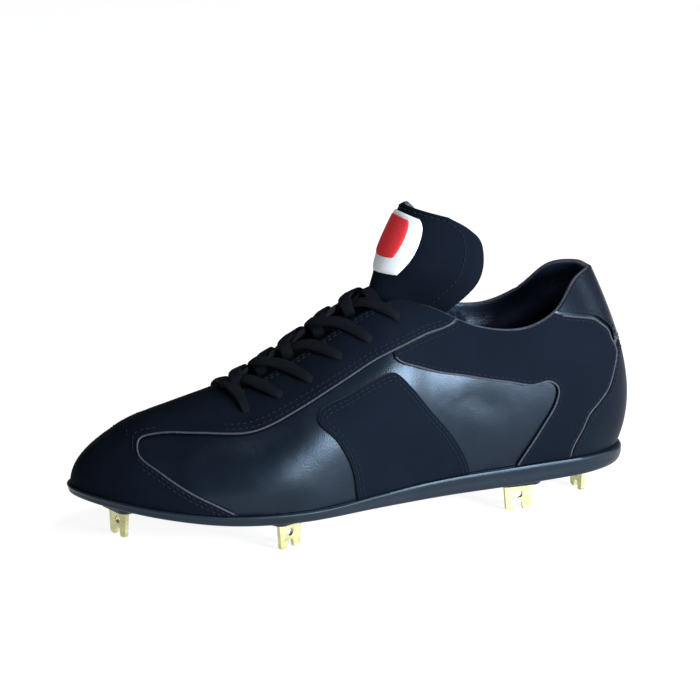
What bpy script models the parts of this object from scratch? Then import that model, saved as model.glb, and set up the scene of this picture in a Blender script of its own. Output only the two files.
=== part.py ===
"""Baseball cleat for the left foot: moulded sole with six metal blades, hollow upper, tongue and laces.

While it is modelled, X runs from the back of the sole to the toe, Y to the outer side and Z up from
the floor. At the end an empty carries every piece, so that the origin lies on the floor under the
middle of the shoe. All lengths are in metres and all angles in degrees.
"""
import math
from functools import lru_cache

import bmesh
import bpy
from mathutils import Matrix, Vector

# Sole
SOLE_LENGTH = 0.290
BALL_WIDTH = 0.100
HEEL_WIDTH = 0.068
TOE_SPRING = 0.0110
SIDE_HEIGHT = 0.0100
ARCH_RISE = 0.0030
ARCH_PLACE = 0.43
ARCH_REACH = 0.10
ARCH_EDGE = 0.4 * HEEL_WIDTH
SOLE_LEDGE = 0.0030
EDGE_ROUND = 0.0012

# Blades and the bosses that hold them
SOLE_CLEARANCE = 0.0145
BOSS_DROP = 0.0012
BLADE_REACH = SOLE_CLEARANCE - BOSS_DROP
BLADE_WIDTH = 0.0158
BLADE_THICK = 0.0020
BLADE_HOLE = 0.0040
BLADE_NOTCH = 0.0038
BLADE_ROOT = 0.0022
BLADE_TAPER = 0.87
BLADE_CORNER = 0.0016
NOTCH_REACH = 1.35
HOLE_PLACE = 0.60
BOSS_LENGTH = 0.0230
BOSS_WIDTH = 0.0100
BOSS_FLARE = 0.25
BOSS_SINK = 0.6

# Upper
BACK_HEIGHT = 0.0900
COLLAR_HEIGHT = 0.0690
INSTEP_HEIGHT = 0.0890
TOE_HEIGHT = 0.0345
INSTEP_RADIUS = 0.0330
THROAT_HALF = 0.0110
WALL = 0.0020
COLLAR_PAD = 0.0030
OVERLAY = 0.0011

# Tongue, insole, laces and patch
TONGUE_THICK = 0.0030
TONGUE_RISE = 0.0420
TONGUE_WIDTH = 0.0600
INSOLE_THICK = 0.0035
LACE_WIDTH = 0.0066
LACE_THICK = 0.0018
PATCH_THICK = 0.0010

# Space left between pieces that touch on the real shoe
GAP = 0.0003
INSOLE_INSET = SOLE_LEDGE + WALL + COLLAR_PAD / 3

# Each half of the sole's outline from heel to toe: place along the length, then half widths of the
# outer and the inner side as shares of the width that holds there
OUTLINE = (
    # along, outer, inner
    (0.000, 0.000, 0.000),
    (0.022, 0.275, 0.275),
    (0.085, 0.440, 0.440),
    (0.200, 0.500, 0.470),
    (0.360, 0.490, 0.385),
    (0.520, 0.462, 0.350),
    (0.640, 0.500, 0.425),
    (0.760, 0.480, 0.475),
    (0.860, 0.390, 0.430),
    (0.935, 0.248, 0.322),
    (0.982, 0.100, 0.182),
    (1.000, -0.040, 0.040),
)

# The sole's side from heel to toe: underside lift as a share of the toe spring, thickness of the
# side as a share of its full height
SOLE_SIDE = (
    # along, lift, side
    (0.000, 0.250, 0.860),
    (0.120, 0.176, 0.960),
    (0.250, 0.090, 1.000),
    (0.400, 0.060, 0.900),
    (0.500, 0.040, 0.720),
    (0.580, 0.000, 0.560),
    (0.680, 0.000, 0.520),
    (0.780, 0.130, 0.490),
    (0.880, 0.460, 0.450),
    (0.950, 0.760, 0.420),
    (1.000, 1.000, 0.400),
)

# Ribs of the last. Each starts on the sole at a share of the way round from heel to toe and ends on
# the collar, the throat's edge or the crest of the vamp. The heights are over the sole's top.
RIBS = (
    # start, top along, half width outer, half width inner, height, flare, lean, low pull, high pull
    (0.000, 0.055, 0.000 * HEEL_WIDTH, 0.000 * HEEL_WIDTH, 1.000 * BACK_HEIGHT, 25, 66, 0.34, 0.34),
    (0.055, 0.070, 0.130 * HEEL_WIDTH, 0.130 * HEEL_WIDTH, 1.015 * BACK_HEIGHT, 24, 66, 0.34, 0.34),
    (0.110, 0.108, 0.265 * HEEL_WIDTH, 0.260 * HEEL_WIDTH, 0.980 * BACK_HEIGHT, 17, 70, 0.34, 0.34),
    (0.170, 0.154, 0.375 * HEEL_WIDTH, 0.370 * HEEL_WIDTH, 1.090 * COLLAR_HEIGHT, 12, 74, 0.34, 0.34),
    (0.240, 0.220, 0.415 * HEEL_WIDTH, 0.410 * HEEL_WIDTH, 1.000 * COLLAR_HEIGHT, 10, 76, 0.36, 0.36),
    (0.320, 0.305, 0.400 * HEEL_WIDTH, 0.395 * HEEL_WIDTH, 1.060 * COLLAR_HEIGHT, 8, 72, 0.37, 0.38),
    (0.400, 0.385, 0.310 * HEEL_WIDTH, 0.310 * HEEL_WIDTH, 0.950 * INSTEP_HEIGHT, 6, 58, 0.39, 0.38),
    (0.450, 0.440, 1.300 * THROAT_HALF, 1.300 * THROAT_HALF, 0.990 * INSTEP_HEIGHT, 6, 36, 0.40, 0.38),
    (0.530, 0.535, 1.100 * THROAT_HALF, 1.100 * THROAT_HALF, 0.875 * INSTEP_HEIGHT, 6, 21, 0.41, 0.38),
    (0.610, 0.625, 1.000 * THROAT_HALF, 1.000 * THROAT_HALF, 0.715 * INSTEP_HEIGHT, 8, 17, 0.42, 0.38),
    (0.690, 0.710, 0.900 * THROAT_HALF, 0.900 * THROAT_HALF, 0.575 * INSTEP_HEIGHT, 10, 17, 0.41, 0.37),
    (0.770, 0.785, 0.900 * THROAT_HALF, 0.900 * THROAT_HALF, 1.260 * TOE_HEIGHT, 9, 15, 0.38, 0.36),
    (0.850, 0.840, 0.900 * THROAT_HALF, 0.900 * THROAT_HALF, 1.095 * TOE_HEIGHT, 6, 15, 0.36, 0.35),
    (0.920, 0.875, 0.900 * THROAT_HALF, 0.900 * THROAT_HALF, 0.960 * TOE_HEIGHT, 2, 15, 0.35, 0.36),
    (1.000, 0.905, 0.900 * THROAT_HALF, 0.900 * THROAT_HALF, 0.810 * TOE_HEIGHT, -2, 15, 0.36, 0.44),
)

# Where the throat ends towards the toe, and the collar's front corner, along the length
THROAT_END = 0.730
THROAT_TOP = 0.440
THROAT_ROUND = 0.0100
THROAT_TURN = (10, 35, 57, 75, 90)
THROAT_BLEND = 0.05

# The crest leans over to the inner side towards the toe, like the toe of the outline
CREST = (
    # along, across as a share of the ball's width
    (0.000, 0.000),
    (0.300, 0.000),
    (0.550, 0.000),
    (0.750, -0.018),
    (0.905, -0.040),
)

# Blades: place along and across, and the turn of the plate about the upright, zero along the shoe
BLADES = (
    # name, along, across as a share of the ball's width, turn
    ("blade_toe", 0.907, -0.080, 104),
    ("blade_ball_outer", 0.660, 0.405, 27),
    ("blade_ball_inner", 0.690, -0.345, -27),
    ("blade_heel_outer", 0.217, 0.235, 0),
    ("blade_heel_inner", 0.217, -0.225, 0),
    ("blade_heel_back", 0.069, 0.000, 90),
)

# The free part of the tongue, above the throat: share of its rise over the throat's top, place along
# the shoe, tilt of the section behind the front line, half width and depth as shares of the tongue's
# width, and the turns at its inner and outer edges
TONGUE = (
    # rise, along, tilt, half width, depth, inner edge, outer edge
    (0.13, 0.474, 42, 0.290, 0.66, -56, 66),
    (0.34, 0.459, 30, 0.285, 0.84, -58, 72),
    (0.62, 0.441, 20, 0.430, 0.89, -58, 77),
    (0.86, 0.418, 16, 0.450, 0.90, -50, 69),
    (0.95, 0.408, 14, 0.450, 0.90, -39, 56),
    (1.00, 0.402, 14, 0.450, 0.90, -25, 40),
)

# Where the tongue lies under the throat: place along the shoe, turn at its edges, and its depth under
# the crest as a share of the wall
TONGUE_FOOT = (
    (0.755, 38, 2.00),
    (0.725, 42, 2.00),
    (0.690, 46, 1.60),
    (0.640, 50, 1.35),
    (0.580, 54, 1.30),
    (0.530, 54, 1.40),
)

# Eyelet pairs along the crest, from the toe end up
EYELETS = (0.710, 0.648, 0.596, 0.541, 0.488, 0.434)

# Outlines of the overlays in the side view: place along the shoe, height over the floor as a share of
# the instep's height
VAMP = (
    (0.700, 0.10), (0.779, 0.27), (0.834, 0.37), (0.876, 0.47), (0.900, 0.54), (0.893, 0.605),
    (0.860, 0.642), (0.800, 0.652), (0.726, 0.655), (0.690, 0.685), (0.629, 0.775), (0.558, 0.894),
    (0.493, 1.000), (0.447, 1.052), (0.398, 1.098), (0.346, 1.144), (0.300, 1.350), (0.450, 1.700),
    (0.800, 1.300), (1.080, 0.80), (1.080, 0.10),
)
HEEL_TAB = (
    (-0.060, 0.900), (0.000, 0.900), (0.030, 0.930), (0.036, 0.989), (0.052, 1.036), (0.070, 1.079),
    (0.093, 1.100), (0.124, 1.124), (0.150, 1.150), (0.160, 1.300), (0.100, 1.600), (-0.060, 1.400),
)
COUNTER = (
    (-0.060, 0.100), (0.060, 0.080), (0.130, 0.120), (0.124, 0.330), (0.106, 0.452), (0.093, 0.532),
    (0.075, 0.584), (0.052, 0.658), (0.037, 0.758), (0.027, 0.850), (0.000, 0.893), (-0.060, 0.893),
)
SADDLE = (
    (0.330, 0.10), (0.325, 0.30), (0.355, 0.50), (0.402, 0.69), (0.436, 0.83), (0.466, 0.920),
    (0.504, 0.890), (0.550, 0.826), (0.600, 0.755), (0.606, 0.70), (0.575, 0.58), (0.550, 0.42),
    (0.540, 0.25), (0.530, 0.10),
)
QUARTER = (
    (0.461, 1.022), (0.456, 0.985), (0.420, 0.935), (0.379, 0.888), (0.334, 0.854), (0.293, 0.820), (0.248, 0.787),
    (0.210, 0.757), (0.174, 0.764), (0.158, 0.722), (0.162, 0.640), (0.193, 0.483), (0.228, 0.315),
    (0.248, 0.200), (0.248, 0.100), (0.136, 0.100), (0.129, 0.340), (0.110, 0.462), (0.097, 0.545),
    (0.078, 0.600), (0.056, 0.670), (0.041, 0.765), (0.030, 0.865), (0.040, 0.930), (0.046, 0.985),
    (0.060, 1.024), (0.076, 1.062), (0.095, 1.082), (0.126, 1.104), (0.150, 1.125), (0.200, 1.200),
    (0.290, 1.250), (0.342, 1.132), (0.397, 1.085), (0.440, 1.045),
)

# Reaches of the cutters, then where the patch lies on the tongue as shares of its height and width
SIDE_REACH = 0.080
MIDDLE_STRIP = 0.004
PATCH_PLACE = (0.668, 0.900)
PATCH_SPREAD = (0.20, 0.69)
PATCH_ROUND = 0.22

# Laces: half reach across the crest, lift over the overlay, bow towards the toe, flatter round low down
LACE_REACH = 0.0220
LACE_LIFT = 0.0012
LACE_BOW = 0.013
LACE_FLAT = 1.5

# How far the inner rings of the sole and the insole are drawn to the middle line
RING_DRAW = 0.45

# Mesh density
OUTLINE_STEPS = 2
TONGUE_ROWS = 14
TONGUE_COLUMNS = 10
PATCH_STEPS = 6
LACE_STEPS = 4
RIB_COUNT = 30
RIB_STEPS = 7
SOLE_COUNT = 30

OUTER = 1
INNER = -1


def mix(a, b, share):
    return a + (b - a) * share


def smooth(share):
    share = min(max(share, 0.0), 1.0)
    return share * share * (3 - 2 * share)


def read(rows, place):
    """The other columns of a table at a place in its first column, on a smooth curve."""
    place = min(max(place, rows[0][0]), rows[-1][0])
    last = len(rows) - 2
    i = next((k for k in range(last) if place < rows[k + 1][0]), last)
    near, far = rows[i], rows[i + 1]
    before, after = rows[max(i - 1, 0)], rows[min(i + 2, last + 1)]
    span = far[0] - near[0]
    t = (place - near[0]) / span
    values = []
    for c in range(1, len(near)):
        start = span * (far[c] - before[c]) / (far[0] - before[0])
        end = span * (after[c] - near[c]) / (after[0] - near[0])
        bend = 3 * (far[c] - near[c]) - 2 * start - end
        curl = start + end - 2 * (far[c] - near[c])
        values.append(near[c] + t * (start + t * (bend + t * curl)))
    return values


def closed_curve(points, steps):
    """A smooth closed curve through flat points, spaced by the square root of their distances."""
    curve = []
    count = len(points)
    for i in range(count):
        a, b, c, d = (points[(i + k) % count] for k in (-1, 0, 1, 2))
        ab, bc, cd = (math.sqrt((q - p).length) for p, q in ((a, b), (b, c), (c, d)))
        start = (b - a) / ab - (c - a) / (ab + bc) + (c - b) / bc
        end = (c - b) / bc - (d - b) / (bc + cd) + (d - c) / cd
        for k in range(steps):
            t = k / steps
            hermite = (2 * t ** 3 - 3 * t ** 2 + 1, t ** 3 - 2 * t ** 2 + t)
            other = (3 * t ** 2 - 2 * t ** 3, t ** 3 - t ** 2)
            curve.append(b * hermite[0] + start * bc * hermite[1] + c * other[0] + end * bc * other[1])
    return curve


# The last: outline, sole heights, ribs

def width_at(along):
    return mix(HEEL_WIDTH, BALL_WIDTH, smooth((along - 0.25) / 0.35))


@lru_cache(maxsize=None)
def outline_half(side):
    """Points of one half of the sole's outline, heel to toe, with their distance along the edge."""
    outer = [Vector((a * SOLE_LENGTH, o * width_at(a))) for a, o, i in OUTLINE]
    inner = [Vector((a * SOLE_LENGTH, -i * width_at(a))) for a, o, i in OUTLINE[1:-1]]
    steps = 16
    curve = closed_curve(outer + inner[::-1], steps)
    tip = (len(outer) - 1) * steps
    half = curve[:tip + 1] if side == OUTER else [curve[0]] + curve[:tip - 1:-1]
    reach = [0.0]
    for a, b in zip(half, half[1:]):
        reach.append(reach[-1] + (b - a).length)
    return half, reach


def edge_point(side, share, inset=0.0):
    """A point of the outline at a share of the way from heel to toe, moved in square to the edge."""
    half, reach = outline_half(side)
    goal = min(max(share, 0.0), 1.0) * reach[-1]
    i = next((k for k in range(len(reach) - 2) if goal <= reach[k + 1]), len(reach) - 2)
    t = (goal - reach[i]) / (reach[i + 1] - reach[i])
    back, front = half[max(i - 1, 0)], half[min(i + 2, len(half) - 1)]
    way = ((half[i + 1] - back) * (1 - t) + (front - half[i]) * t).normalized()
    if share <= 0.0 or share >= 1.0:
        way = Vector((0.0, side if share <= 0.0 else -side))
    out = Vector((-way.y, way.x)) * side
    return half[i].lerp(half[i + 1], t) - out * inset, out


def underside(along):
    return SOLE_CLEARANCE + read(SOLE_SIDE, along)[0] * TOE_SPRING


def sole_top(along):
    return underside(along) + read(SOLE_SIDE, along)[1] * SIDE_HEIGHT


def arch(along, across):
    """How far the underside rises under the arch of the foot, on the inner side only."""
    bump = math.exp(-((along - ARCH_PLACE) / ARCH_REACH) ** 2)
    return ARCH_RISE * bump * smooth(-across / ARCH_EDGE)


def crest_across(along):
    return read(CREST, along)[0] * BALL_WIDTH


def slit_factor(along):
    """One along the throat, falling to nothing on a round at the throat's end."""
    into = (along - THROAT_END) * SOLE_LENGTH / THROAT_ROUND + 1
    return math.sqrt(max(0.0, 1 - max(into, 0.0) ** 2))


def crest_height(share):
    """Height of the crest over the floor: the throat's edges carried on to the middle on a round."""
    along, outer, inner, height = read(RIBS, share)[:4]
    half = (outer + inner) / 2
    past = smooth((along - THROAT_TOP) / THROAT_BLEND)
    return sole_top(along) + height + past * half ** 2 / (2 * INSTEP_RADIUS)


def rib_top(side, share):
    """The end of a rib on the collar, the throat's edge or, past the throat, the crest."""
    along, outer, inner, height = read(RIBS, share)[:4]
    full = outer if side == OUTER else inner
    across = full * slit_factor(along)
    past = smooth((along - THROAT_TOP) / THROAT_BLEND)
    rise = past * (full ** 2 - across ** 2) / (2 * INSTEP_RADIUS)
    middle = crest_across(along)
    return Vector((along * SOLE_LENGTH, middle + side * across, sole_top(along) + height + rise))


def rib_ends(side, share):
    """Four handles of a rib's curve, from the sole's top to the upper's top edge."""
    flat, out = edge_point(side, share, SOLE_LEDGE)
    along, _, _, _, flare, lean, low, high = read(RIBS, share)
    start = Vector((flat.x, flat.y, sole_top(flat.x / SOLE_LENGTH) + GAP))
    top = rib_top(side, share)
    step = 0.004
    ahead, behind = min(share + step, 1.0), max(share - step, 0.0)
    run = (read(RIBS, ahead)[0] - read(RIBS, behind)[0]) * SOLE_LENGTH
    slope = (crest_height(ahead) - crest_height(behind)) / run
    level = (start - top).to_2d()
    level = level.normalized() if level.length > 0.0005 else Vector((-1.0, 0.0))
    if share <= 0.0:
        level = Vector((-1.0, 0.0))
    flare, lean = math.radians(flare), math.radians(lean * slit_factor(along))
    reach = (top - start).length
    up = Vector((out.x * math.sin(flare), out.y * math.sin(flare), math.cos(flare)))
    calm = math.cos(lean) ** 4
    drop = -math.sin(lean) + slope * level.x * calm
    over = Vector((level.x * math.cos(lean), level.y * math.cos(lean), drop)).normalized()
    return start, start + up * low * reach, top + over * high * reach, top


def rib_point(side, share, t):
    a, b, c, d = rib_ends(side, share)
    s = 1 - t
    return a * s ** 3 + b * 3 * s * s * t + c * 3 * s * t * t + d * t ** 3


def upper_point(side, share, t, offset=0.0):
    """A point of the last's surface, moved out along its normal."""
    point = rib_point(side, share, t)
    if offset == 0.0:
        return point
    step = 0.004
    low, high = max(t - step, 0.0), min(t + step, 1.0)
    rise = rib_point(side, share, high) - rib_point(side, share, low)
    if share <= 0.0 or share >= 1.0:
        other = share + step if share <= 0.0 else share - step
        level = min(t, 0.96)
        along = rib_point(OUTER, other, level) - rib_point(INNER, other, level)
        normal = along.cross(rise) * (-1 if share <= 0.0 else 1)
    else:
        along = rib_point(side, share + step, t) - rib_point(side, share - step, t)
        normal = rise.cross(along) * side
    return point + normal.normalized() * offset


@lru_cache(maxsize=None)
def rib_shares():
    """Places of the ribs, even along the edge and closer where the throat turns at its end."""
    turn = []
    for angle in THROAT_TURN:
        along = THROAT_END - THROAT_ROUND / SOLE_LENGTH * (1 - math.sin(math.radians(angle)))
        turn.append(share_of_top(along))
    close = 0.4 / RIB_COUNT
    even = [k / RIB_COUNT for k in range(RIB_COUNT + 1)]
    kept = [share for share in even if min(abs(share - other) for other in turn) > close]
    return tuple(sorted(kept + turn))


def share_of_top(along):
    """The rib whose top lies at a place along the shoe, found by halving."""
    low, high = 0.3, 1.0
    for _ in range(30):
        middle = (low + high) / 2
        if read(RIBS, middle)[0] < along:
            low = middle
        else:
            high = middle
    return (low + high) / 2


def throat_open(share):
    along = read(RIBS, share)[0]
    return along < THROAT_END - 0.0005


# Mesh helpers

def new_object(name, mesh_or_bm, material=None):
    if isinstance(mesh_or_bm, bmesh.types.BMesh):
        mesh = bpy.data.meshes.new(name)
        bmesh.ops.recalc_face_normals(mesh_or_bm, faces=mesh_or_bm.faces)
        bmesh.ops.triangulate(mesh_or_bm, faces=mesh_or_bm.faces, quad_method="SHORT_EDGE")
        mesh_or_bm.to_mesh(mesh)
        mesh_or_bm.free()
    else:
        mesh = mesh_or_bm
    mesh.shade_smooth()
    mesh.set_sharp_from_angle(angle=math.radians(40))
    obj = bpy.data.objects.new(name, mesh)
    bpy.context.scene.collection.objects.link(obj)
    if material:
        obj.data.materials.append(material)
    return obj


def make_material(name, colour, roughness, metallic=0.0):
    material = bpy.data.materials.new(name)
    material.use_nodes = True
    shader = material.node_tree.nodes["Principled BSDF"]
    shader.inputs["Base Color"].default_value = (*colour, 1.0)
    shader.inputs["Roughness"].default_value = roughness
    shader.inputs["Metallic"].default_value = metallic
    return material


def helper(obj):
    obj.hide_render = True
    obj.hide_set(False)
    obj.display_type = "WIRE"
    return obj


def cut(obj, tool, operation):
    modifier = obj.modifiers.new(operation.lower() + "_" + tool.name, "BOOLEAN")
    modifier.operation = operation
    modifier.object = tool
    return modifier


def quad(bm, a, b, c, d):
    corners = []
    for corner in (a, b, c, d):
        if corner not in corners:
            corners.append(corner)
    if len(corners) > 2 and not bm.faces.get(corners):
        bm.faces.new(corners)


def rounded_outline(length, width, radius, steps=3):
    """Flat corners of a rectangle with round corners, anticlockwise."""
    points = []
    for turn, (sx, sy) in enumerate(((1, 1), (-1, 1), (-1, -1), (1, -1))):
        centre = Vector((sx * (length / 2 - radius), sy * (width / 2 - radius)))
        for k in range(steps + 1):
            angle = math.radians(90 * (turn + k / steps))
            points.append(centre + Vector((math.cos(angle), math.sin(angle))) * radius)
    return points


def prism(bm, outline, place, low, high):
    """A closed body between two copies of a flat outline, put into space by a function."""
    rings = [[bm.verts.new(place(p.x, p.y, level)) for p in outline] for level in (low, high)]
    count = len(outline)
    for i in range(count):
        j = (i + 1) % count
        bm.faces.new((rings[0][i], rings[0][j], rings[1][j], rings[1][i]))
    bm.faces.new(rings[0][::-1])
    bm.faces.new(rings[1])


# Upper and the forms that its overlays are cut from

def shell(name, inside, outside):
    """A hollow closed wall between two offsets of the last, open underneath and at the throat.

    Both offsets are functions of a rib's share and of the height along it.
    """
    bm = bmesh.new()
    shares = rib_shares()
    layers = []
    for offset in (outside, inside):
        grid = {}
        for side in (OUTER, INNER):
            for i, share in enumerate(shares):
                for j in range(RIB_STEPS + 1):
                    if side == INNER and (i in (0, len(shares) - 1)):
                        grid[side, i, j] = grid[OUTER, i, j]
                        continue
                    if side == INNER and j == RIB_STEPS and not throat_open(share):
                        grid[side, i, j] = grid[OUTER, i, j]
                        continue
                    t = j / RIB_STEPS
                    spot = upper_point(side, share, t, offset(share, t))
                    if j == 0:
                        spot.z = sole_top(spot.x / SOLE_LENGTH) + GAP
                    grid[side, i, j] = bm.verts.new(spot)
        layers.append(grid)
    for side in (OUTER, INNER):
        for i in range(len(shares) - 1):
            for j in range(RIB_STEPS):
                for grid in layers:
                    quad(bm, grid[side, i, j], grid[side, i + 1, j],
                         grid[side, i + 1, j + 1], grid[side, i, j + 1])
            a, b = layers
            quad(bm, a[side, i, 0], a[side, i + 1, 0], b[side, i + 1, 0], b[side, i, 0])
            if throat_open(shares[i]):
                k = RIB_STEPS
                quad(bm, a[side, i, k], a[side, i + 1, k], b[side, i + 1, k], b[side, i, k])
    return new_object(name, bm)


def wall_depth(share, t):
    """The upper's wall, thicker where the collar is padded."""
    round_foot = smooth(1 - (share - 0.30) / 0.12)
    return -(WALL + COLLAR_PAD * round_foot * math.sin(math.pi * smooth((t - 0.55) / 0.45)) ** 2)


def build_upper(material):
    upper = shell("upper", wall_depth, lambda share, t: 0.0)
    upper.data.materials.append(material)
    return upper


# Sole

def sole_loop(bm, inset, height, towards=0.0):
    """One ring of the sole: outline inset, height from underside to top, share drawn to the middle."""
    ring = []
    shares = [k / SOLE_COUNT for k in range(SOLE_COUNT + 1)]
    stations = [(OUTER, s) for s in shares] + [(INNER, s) for s in shares[-2:0:-1]]
    for side, share in stations:
        flat, _ = edge_point(side, share, inset)
        along = flat.x / SOLE_LENGTH
        middle = Vector((mix(0.12, 0.88, along) * SOLE_LENGTH, crest_across(along)))
        flat = flat.lerp(middle, towards)
        along = flat.x / SOLE_LENGTH
        low = underside(along) + arch(along, flat.y) * (1 - 0.5 * towards)
        ring.append(bm.verts.new((flat.x, flat.y, mix(low, sole_top(along), height))))
    return ring


def close_ring(bm, ring):
    """Fills a ring with a ladder of faces from side to side."""
    count = len(ring)
    for i in range(count // 2):
        quad(bm, ring[i], ring[i + 1], ring[(count - i - 1) % count], ring[(count - i) % count])


def build_outsole(material):
    bm = bmesh.new()
    rings = [
        sole_loop(bm, SOLE_LEDGE, 0.0, RING_DRAW),
        sole_loop(bm, SOLE_LEDGE, 0.0),
        sole_loop(bm, EDGE_ROUND, 0.03),
        sole_loop(bm, 0.25 * EDGE_ROUND, 0.22),
        sole_loop(bm, 0.0, 0.50),
        sole_loop(bm, 0.2 * EDGE_ROUND, 0.82),
        sole_loop(bm, EDGE_ROUND, 1.0),
        sole_loop(bm, INSOLE_INSET, 1.0),
        sole_loop(bm, INSOLE_INSET, 1.0, RING_DRAW),
    ]
    for low, high in zip(rings, rings[1:]):
        for i in range(len(low)):
            j = (i + 1) % len(low)
            quad(bm, low[i], low[j], high[j], high[i])
    close_ring(bm, rings[0])
    close_ring(bm, rings[-1])
    sole = new_object("outsole", bm, material)
    cut(sole, helper(boss_bodies()), "UNION")
    cut(sole, helper(slot_bodies()), "DIFFERENCE")
    return sole


def blade_place(row):
    _, along, across, turn = row
    spot = Vector((along * SOLE_LENGTH, across * BALL_WIDTH, 0.0))
    return Matrix.Translation(spot) @ Matrix.Rotation(math.radians(turn), 4, "Z")


def boss_bodies():
    """Round-cornered bosses that come down from the sole to the blades."""
    bm = bmesh.new()
    for row in BLADES:
        frame = blade_place(row)
        outline = rounded_outline(BOSS_LENGTH, BOSS_WIDTH, 0.42 * BOSS_WIDTH)

        def place(x, y, level, frame=frame):
            spot = frame @ Vector((x, y, 0.0))
            along = spot.x / SOLE_LENGTH
            height = mix(BLADE_REACH, mix(underside(along), sole_top(along), BOSS_SINK), level)
            size = 1 + BOSS_FLARE * (height - BLADE_REACH) / BOSS_WIDTH
            spot = frame @ Vector((x * size, y * size, 0.0))
            spot.z = height
            return spot
        prism(bm, outline, place, 0.0, 1.0)
    return new_object("boss_form", bm)


def slot_bodies():
    """Slots that take the roots of the blades."""
    bm = bmesh.new()
    for row in BLADES:
        frame = blade_place(row)
        outline = rounded_outline(BLADE_WIDTH + 2 * GAP, BLADE_THICK + 2 * GAP, 0.2 * BLADE_THICK, 1)
        prism(bm, outline, lambda x, y, level, frame=frame: frame @ Vector((x, y, level)),
              BLADE_REACH - 0.001, BLADE_REACH + BLADE_ROOT + GAP)
    return new_object("slot_form", bm)


def blade_outline():
    """Half of a blade's face, from the notch round the foot to the root, then mirrored."""
    half = BLADE_WIDTH / 2
    foot = BLADE_TAPER * half
    notch = BLADE_NOTCH / 2
    corner = BLADE_CORNER
    points = []
    for k in range(5):
        angle = math.radians(90 - 90 * k / 4)
        points.append(Vector((notch * math.cos(angle), (NOTCH_REACH + math.sin(angle)) * notch)))
    points.append(Vector((NOTCH_REACH * notch, 0.0)))
    for k in range(4):
        angle = math.radians(-90 + 90 * k / 3)
        points.append(Vector((foot - corner + corner * math.cos(angle), corner + corner * math.sin(angle))))
    points.append(Vector((half, BLADE_REACH)))
    points.append(Vector((half, BLADE_REACH + BLADE_ROOT)))
    mirrored = [Vector((-p.x, p.y)) for p in points[:0:-1]]
    return points + mirrored


def build_blade(row, material):
    frame = blade_place(row)
    bm = bmesh.new()
    prism(bm, blade_outline(), lambda x, z, level: frame @ Vector((x, level, z)),
          -BLADE_THICK / 2, BLADE_THICK / 2)
    blade = new_object(row[0], bm, material)
    hole = bmesh.new()
    turned = frame @ Matrix.Translation((0, 0, HOLE_PLACE * BLADE_REACH)) @ Matrix.Rotation(math.pi / 2, 4, "X")
    bmesh.ops.create_cone(hole, cap_ends=True, segments=10, radius1=BLADE_HOLE / 2,
                          radius2=BLADE_HOLE / 2, depth=3 * BLADE_THICK, matrix=turned)
    cut(blade, helper(new_object(row[0] + "_hole", hole)), "DIFFERENCE")
    return blade


def build_insole(material):
    bm = bmesh.new()
    rings = []
    for towards, lift in ((RING_DRAW, GAP), (0.0, GAP), (0.0, INSOLE_THICK), (RING_DRAW, INSOLE_THICK)):
        ring = sole_loop(bm, INSOLE_INSET, 1.0, towards)
        for vert in ring:
            vert.co.z += lift
        rings.append(ring)
    for low, high in zip(rings, rings[1:]):
        for i in range(len(low)):
            j = (i + 1) % len(low)
            quad(bm, low[i], low[j], high[j], high[i])
    close_ring(bm, rings[0])
    close_ring(bm, rings[-1])
    return new_object("insole", bm, material)


# Overlays, each cut from one shell round the last by outlines in the side view

def side_outline(corners):
    points = [Vector((a * SOLE_LENGTH, h * INSTEP_HEIGHT)) for a, h in corners]
    return closed_curve(points, OUTLINE_STEPS)


def side_prism(name, corners, near, far):
    """A cutter with a smooth outline in the side view, between two distances from the middle."""
    bm = bmesh.new()
    prism(bm, side_outline(corners), lambda x, z, level: Vector((x, level, z)), near, far)
    return helper(new_object(name, bm))


def overlay(name, form, material, cuts):
    piece = new_object(name, form.data.copy(), material)
    for tool, operation in cuts:
        cut(piece, tool, operation)
    return piece


def build_overlays(matte, gloss):
    form = shell("overlay_form", lambda share, t: GAP, lambda share, t: GAP + OVERLAY)
    helper(form)
    vamp = side_prism("vamp_cut", VAMP, -SIDE_REACH, SIDE_REACH)
    overlay("vamp_overlay", form, matte, [(vamp, "INTERSECT")])
    tab = side_prism("tab_cut", HEEL_TAB, -SIDE_REACH, SIDE_REACH)
    overlay("heel_tab", form, gloss, [(tab, "INTERSECT")])
    counter = side_prism("counter_cut", COUNTER, -SIDE_REACH, SIDE_REACH)
    overlay("heel_counter", form, gloss, [(counter, "INTERSECT")])
    for word, side in (("outer", OUTER), ("inner", INNER)):
        saddle = side_prism("saddle_cut_" + word, SADDLE, MIDDLE_STRIP * side, SIDE_REACH * side)
        overlay("saddle_" + word, form, matte, [(saddle, "INTERSECT")])
        quarter = side_prism("quarter_cut_" + word, QUARTER, MIDDLE_STRIP * side, SIDE_REACH * side)
        overlay("quarter_" + word, form, matte, [(quarter, "INTERSECT")])


# Tongue, patch and laces

def crest_point(along):
    """The crest over the throat, carried on a round from the throat's edges, and its upward normal."""
    share = share_of_top(along)
    ends = [rib_top(side, share) for side in (OUTER, INNER)]
    middle = (ends[0] + ends[1]) / 2
    half = (ends[0] - ends[1]).length / 2
    middle.z += half ** 2 / (2 * INSTEP_RADIUS)
    return middle


def crest_frame(along):
    step = 0.01
    slope = crest_point(along + step) - crest_point(along - step)
    slope.y = 0.0
    slope.normalize()
    return crest_point(along), Vector((-slope.z, 0.0, slope.x))


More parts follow.
